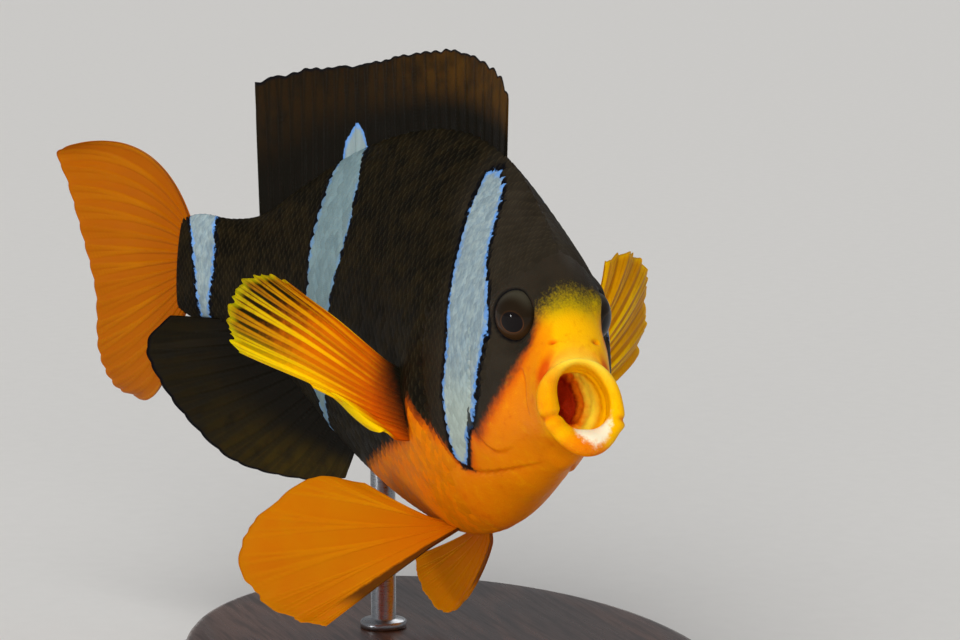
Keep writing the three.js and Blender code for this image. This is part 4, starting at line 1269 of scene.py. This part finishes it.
def tints_of(settings):
    """Every colour by name, in linear light: those of the settings, and the fixed ones."""
    chosen = {key: tuple(getattr(settings, key)) for key, kind in settings.bl_rna.properties.items()
              if kind.subtype == "COLOR"}
    return SimpleNamespace(**chosen, **{key: linear(*rgb) for key, rgb in FIXED_TINTS.items()})


@functools.lru_cache(maxsize=1)
def fish_surface(coat_depth):
    return FishSurface(coat_depth)


def skin_fields(surface):
    """The skin's markings, with what the mouth and the bare face have besides."""
    s, left, up = -surface.flat[..., 0], surface.flat[..., 1], surface.flat[..., 2]
    _, radius, angle = about_mouth(-s, left, up)
    aside = left / np.maximum(radius, 0.5)
    ring = np.arange(len(s))[:, None] - surface.first  # grid rows behind the lips
    fields = markings(s, up) | {"crease": surface.crease, "depth": surface.depth,
                                "orbit": surface.orbit}
    # the inner wall is orange, and the orange reaches a little further back on the left
    far_brow = 1.3 * ease(left, 1.4, 3.4) * hump(s, 10, 2.4) * hump(up, 8.2, 3)
    far_cheek = 3.2 * ease(left, 3, 5) * hump(s, 11, 2) * hump(up, 2, 2.2)
    inner = np.where(surface.inner > 0.5, 3.0, -FAR)
    fields["face"] = np.maximum(fields["face"], inner) + far_brow + far_cheek
    # less yellow on the lower lip and on the lips' right side; the right side of the snout is less
    # yellow as painted shade
    lower = hump(angle, -PI / 2, 1) * ease(ring, -29, -16) * (1 - 0.6 * ease(aside, 0.1, 0.6))
    right = ease(-aside, 0.3, 0.9) * ease(ring, -24, -18)
    cheek = ease(-left, 1.6, 3.8) * ease(up, -3, 0) * (1 - ease(s, 6, 10)) * ease(ring, -4, 2)
    fields["gold"] *= 1 - np.maximum(0.95 * lower, 0.6 * np.maximum(right, cheek))
    # the pale inner edge of the lower lip, partly a painted highlight, and a painted highlight on the
    # crest of the upper one
    fields["gum"] = hump(aside, 0.2, 0.78) * (angle < 0) * hump(ring, -21.6, 5.2)
    fields["shine"] = (angle > 0) * hump(angle, 1.35, 0.55) * hump(ring, -11, 7.5)
    return fields


# ---------------------------------------------------------------- operators
FLESH = ("head", "jaw_upper", "jaw_lower", "gill_cover_left", "gill_cover_right", "trunk",
         "tail_stalk")


class FISH_OT_skin(bpy.types.Operator):
    """Makes the one skin over head, jaws, gill covers, trunk and tail stalk"""
    bl_idname = "anemonefish.skin"
    bl_label = "Skin"

    def execute(self, context):
        settings = context.scene.anemonefish
        surface = fish_surface(settings.coat_depth)
        middles = surface.points.mean(1)
        end = middles[-1] + (middles[-1] - middles[-4]) * 0.3
        piece = closed_rings("fish_skin", in_world(surface.points), in_world(middles[0]),
                             in_world(end), skin_fields(surface))
        finish_piece(piece, skin_finish(tints_of(settings)), FLESH)
        return {"FINISHED"}


class FISH_OT_scales(bpy.types.Operator):
    """Lays overlapping scales over the skin, smallest on the head"""
    bl_idname = "anemonefish.scales"
    bl_label = "Scales"

    def execute(self, context):
        settings = context.scene.anemonefish
        surface = fish_surface(settings.coat_depth)
        material = scale_finish(tints_of(settings))
        pattern = scale_pattern()
        chance = np.random.default_rng(settings.seed)
        for name, first, last in (("scales_head", 11, 31), ("scales_trunk", 31, 62),
                                  ("scales_tail", 62, 104)):
            seeds = scale_seeds(surface, first, last, chance)
            piece = lay_scales(name, surface, seeds, pattern, material, settings, chance)
            finish_piece(piece, material)
        bpy.data.objects.remove(pattern)
        return {"FINISHED"}


class FISH_OT_eyes(bpy.types.Operator):
    """Makes both eyes: a glossy globe with a dark iris and a round pupil"""
    bl_idname = "anemonefish.eyes"
    bl_label = "Eyes"

    def execute(self, context):
        finish = iris_finish(tints_of(context.scene.anemonefish))
        for side, name in ((1, "left"), (-1, "right")):
            build_eye(side, name, finish)
        return {"FINISHED"}


class FISH_OT_fins(bpy.types.Operator):
    """Makes the ribbed fins round the thin solids"""
    bl_idname = "anemonefish.fins"
    bl_label = "Fins"

    def execute(self, context):
        tints = tints_of(context.scene.anemonefish)
        spines, rays = DORSAL["spines"], DORSAL["spines"] + DORSAL["soft"]
        piece = fin_sheet("dorsal_fin", dorsal_middle, rays, (401, 46), (0.5, 0.2, 0.11), fork=0.4,
                          spine_part=spines / rays + 0.01, ripple=0.1, ray_of=dorsal_rays, marked=True)
        finish_piece(piece, dark_fin_finish("fin_black", tints, linear(74, 48, 10)),
                     ("dorsal_fin_spiny", "dorsal_fin_soft"))
        piece = fin_sheet("anal_fin_rayed", anal_middle, ANAL["rays"], (225, 56), (0.45, 0.2, 0.11))
        finish_piece(piece, dark_fin_finish("fin_black_anal", tints, linear(54, 42, 8)),
                     ["anal_fin"])
        piece = fin_sheet("caudal_fin_rayed", caudal_middle, CAUDAL["rays"], (289, 72),
                          (0.5, 0.18, 0.11), fork=0.25)
        finish_piece(piece, warm_fin_finish("fin_tail"), ["caudal_fin"])
        # the left fins' colours are lighter copies of the right fins', painted light
        pectorals = {
            "left": warm_fin_finish("fin_pectoral_left", (linear(124, 72, 4), 0.6, 0.52, -0.35),
                                    linear(222, 150, 1), linear(190, 96, 1)),
            "right": warm_fin_finish("fin_pectoral", (linear(26, 24, 4), 1.0, 0.5, 0.1),
                                     linear(252, 206, 1), tints.black)}
        pelvics = {"left": warm_fin_finish("fin_pelvic_left", leading=linear(120, 58, 6)),
                   "right": warm_fin_finish("fin_pelvic", leading=linear(52, 26, 6))}
        for name, side, pectoral, pelvic in (("left", 1, PECTORAL_LEFT, PELVIC_LEFT),
                                             ("right", -1, PECTORAL_RIGHT, PELVIC_RIGHT)):
            piece = fin_sheet(f"pectoral_{name}_rayed", paired_middle(PECTORAL, pectoral, side),
                              PECTORAL["rays"], (289, 60), (0.42, 0.16, 0.1), width=0.26, lobe=1.0,
                              folds=0.45)
            finish_piece(piece, pectorals[name], ["pectoral_fin_" + name])
            piece = fin_sheet(f"pelvic_{name}_rayed", paired_middle(PELVIC, pelvic, side),
                              PELVIC["rays"], (257, 66), (0.36, 0.18, 0.14), fork=0.08, width=0.1,
                              ripple=0.08)
            finish_piece(piece, pelvics[name], ["pelvic_fin_" + name])
        return {"FINISHED"}


# The base from its foot up: how far in from its widest outline, and how high, in mm.
BASE_PROFILE = ((6, 0), (1.2, 0), (0.5, 0.15), (0.1, 0.5), (0, 1), (0, 3.6), (0.15, 4.1), (0.6, 4.4),
                (1.0, 4.5), (1.2, 4.7), (1.25, 5.1), (1.3, 5.6), (1.5, 6.1), (1.9, 6.55), (2.5, 6.85))
BASE_TOP = (3.2, 6)  # the last two rings, which lie at the top
BASE_SIDES = 160
# The rod's foot collar: how wide, as a part of its solid's radius, and how high, in mm.
ROD_COLLAR = ((1.75, 0), (1.85, 0.15), (1.85, 0.75), (1.7, 0.95), (1.08, 1.05), (0.99, 1.2))
ROD_SIDES = 64


def turned_piece(name, middle, rings, sides):
    """A closed piece of oval rings, each of (half length, half width, height) in mm."""
    a = np.arange(sides) / sides * 2 * PI
    length, width, height = np.array(rings).T[..., None]
    points = np.stack([middle.x + length * np.cos(a), middle.y + width * np.sin(a),
                       height + 0 * a], -1)
    foot, head = ([middle.x * MM, middle.y * MM, ring[2] * MM] for ring in (rings[0], rings[-1]))
    return closed_rings(name, points * MM, foot, head)


def wood_finish(wood):
    f = Finish("dark_wood", Specular_IOR_Level=0.5, Coat_Weight=0.35, Coat_Roughness=0.18)
    grain = f.noise(0.9, 6, 0.62, f.stretched(0.07, 1.0, 0.5))
    bands = f.wave(f.noise(15.0, 2, 0.4, f.stretched(0.25, 1.0, 1.0)), 46.0)
    light, dark = (tuple(min(1, c * k) for c in wood) for k in (1.7, 0.45))
    colour = f.mix(f.step(bands, -0.9, 0.9), wood, light)
    colour = f.mix(f.step(grain, 0.46, 0.62, 0.0, 0.7), colour, dark)
    return f.done(colour, f.step(grain, 0.3, 0.7, 0.24, 0.42), f.bump(grain, 0.02))


def steel_finish():
    f = Finish("brushed_steel", Metallic=1.0, Specular_IOR_Level=0.5)
    brush = f.noise(0.7, 3, 0.6, f.stretched(1.0, 1.0, 9.0))
    colour = f.mix(brush, linear(168, 170, 174), linear(206, 208, 211))
    return f.done(colour, f.step(brush, 0.2, 0.8, 0.24, 0.38), f.bump(brush, 0.006))


class FISH_OT_display(bpy.types.Operator):
    """Makes the turned wooden base and the steel rod"""
    bl_idname = "anemonefish.display"
    bl_label = "Display stand"

    def execute(self, context):
        half_x, half_y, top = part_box("stand_base")[1] / MM
        profile = (*BASE_PROFILE, *((inset, top) for inset in BASE_TOP))
        base = turned_piece("stand_base_turned", Vector(),
                            [(half_x - inset, half_y - inset, z) for inset, z in profile], BASE_SIDES)
        finish_piece(base, wood_finish(tints_of(context.scene.anemonefish).wood),
                     ["stand_base"])
        low, high = (Vector(corner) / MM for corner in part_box("stand_rod"))
        radius, foot, head = (high.x - low.x) / 2, low.z - 0.3, high.z + 0.1
        profile = [(wide, foot + rise) for wide, rise in ROD_COLLAR]
        profile += [(0.99, head - 0.3), (0.9, head)]
        rod = turned_piece("stand_rod_turned", (low + high) / 2,
                           [(radius * wide, radius * wide, z) for wide, z in profile], ROD_SIDES)
        finish_piece(rod, steel_finish(), ["stand_rod"])
        return {"FINISHED"}


# ---------------------------------------------------------------- studio
CAMERA = dict(turn=math.radians(19.3), rise=math.radians(8.1), roll=math.radians(3.6), away=400.0,
              aim=(-35.0, 0.0, 0.0), lens=133.48, shift=(-0.0017, 0.0130))
# Suns: name, angle in degrees, strength, where it shines from, tint, and if it makes highlights.
LIGHTS = (("key", 50, 1.6, (0.36, -0.26, 0.50), (1, 0.985, 0.96), False),
          ("fill", 8, 0.25, (0.12, -0.55, 0.02), (0.95, 0.98, 1), False),
          ("front", 42, 1.75, (0.50, -0.21, 0.08), (1, 0.98, 0.95), False),
          ("glint", 5, 0.3, (0.12, -0.58, 0.02), (1, 1, 1), True),
          ("rim", 30, 0.35, (-0.35, 0.30, 0.38), (1, 1, 1), True))


def camera_place():
    """The camera's matrix: it looks at a point of the straight fish, from its front right."""
    t, r, roll = CAMERA["turn"], CAMERA["rise"], CAMERA["roll"]
    back = np.array([math.cos(t) * math.cos(r), -math.sin(t) * math.cos(r), math.sin(r)])
    level = np.cross(-back, [0, 0, 1])
    level /= np.linalg.norm(level)
    up = np.cross(level, -back)
    right = level * math.cos(roll) + up * math.sin(roll)
    up = up * math.cos(roll) - level * math.sin(roll)
    axes = BANK @ np.stack([right, up, back], 1)
    place = in_world(np.array(CAMERA["aim"]) + back * CAMERA["away"])
    return Matrix([[*axes[k], place[k]] for k in range(3)] + [[0, 0, 0, 1]])


class FISH_OT_studio(bpy.types.Operator):
    """Sets the floor, the lights and the camera"""
    bl_idname = "anemonefish.studio"
    bl_label = "Studio"

    def execute(self, context):
        scene = context.scene
        floor = mesh_object("floor", [(-9, -9, 0), (9, -9, 0), (9, 9, 0), (-9, 9, 0)],
                            [[0, 1, 2, 3]], smooth=False)
        f = Finish("floor_paper", Specular_IOR_Level=0.2)
        paper = f.mix(f.noise(3.0, 4), (0.8, 0.79, 0.77), (0.84, 0.83, 0.81))
        floor.data.materials.append(f.done(paper, 0.85))

        scene.world = bpy.data.worlds.new("studio")
        scene.world.use_nodes = True
        sky = scene.world.node_tree.nodes["Background"].inputs
        sky["Color"].default_value, sky["Strength"].default_value = (0.86, 0.88, 0.92, 1), 0.22
        for name, angle, strength, place, colour, highlights in LIGHTS:
            light = bpy.data.lights.new(name, "SUN")
            light.energy, light.color, light.angle = strength, colour, math.radians(angle)
            lamp = bpy.data.objects.new(name, light)
            scene.collection.objects.link(lamp)
            lamp.visible_glossy = highlights
            lamp.location = Vector(PLACE * MM) + Vector(place)
            lamp.rotation_euler = (-Vector(place)).to_track_quat("-Z", "Y").to_euler()

        data = bpy.data.cameras.new("camera")
        data.lens, data.sensor_width = CAMERA["lens"], 36
        data.shift_x, data.shift_y = CAMERA["shift"]
        data.clip_start, data.clip_end = 0.01, 20
        camera = bpy.data.objects.new("camera", data)
        scene.collection.objects.link(camera)
        camera.matrix_world = camera_place()
        scene.camera = camera
        scene.view_settings.view_transform = "Standard"
        return {"FINISHED"}


class FISH_PT_panel(bpy.types.Panel):
    """Buttons for each piece and the settings they read"""
    bl_label = "Anemonefish"
    bl_idname = "FISH_PT_panel"
    bl_space_type = "VIEW_3D"
    bl_region_type = "UI"
    bl_category = "Anemonefish"

    def draw(self, context):
        for step in STEPS:
            self.layout.operator(step.bl_idname)
        for name in FishSettings.__annotations__:
            self.layout.prop(context.scene.anemonefish, name)


STEPS = (FISH_OT_skin, FISH_OT_scales, FISH_OT_eyes, FISH_OT_fins, FISH_OT_display,
         FISH_OT_studio)
CLASSES = (FishSettings, *STEPS, FISH_PT_panel)


def register():
    for cls in CLASSES:
        bpy.utils.register_class(cls)
    bpy.types.Scene.anemonefish = PointerProperty(type=FishSettings)


def unregister():
    del bpy.types.Scene.anemonefish
    for cls in reversed(CLASSES):
        bpy.utils.unregister_class(cls)


def main():
    register()
    bpy.ops.anemonefish.skin()
    bpy.ops.anemonefish.scales()
    bpy.ops.anemonefish.eyes()
    bpy.ops.anemonefish.fins()
    bpy.ops.anemonefish.display()
    bpy.ops.anemonefish.studio()


if __name__ == "__main__":
    main()
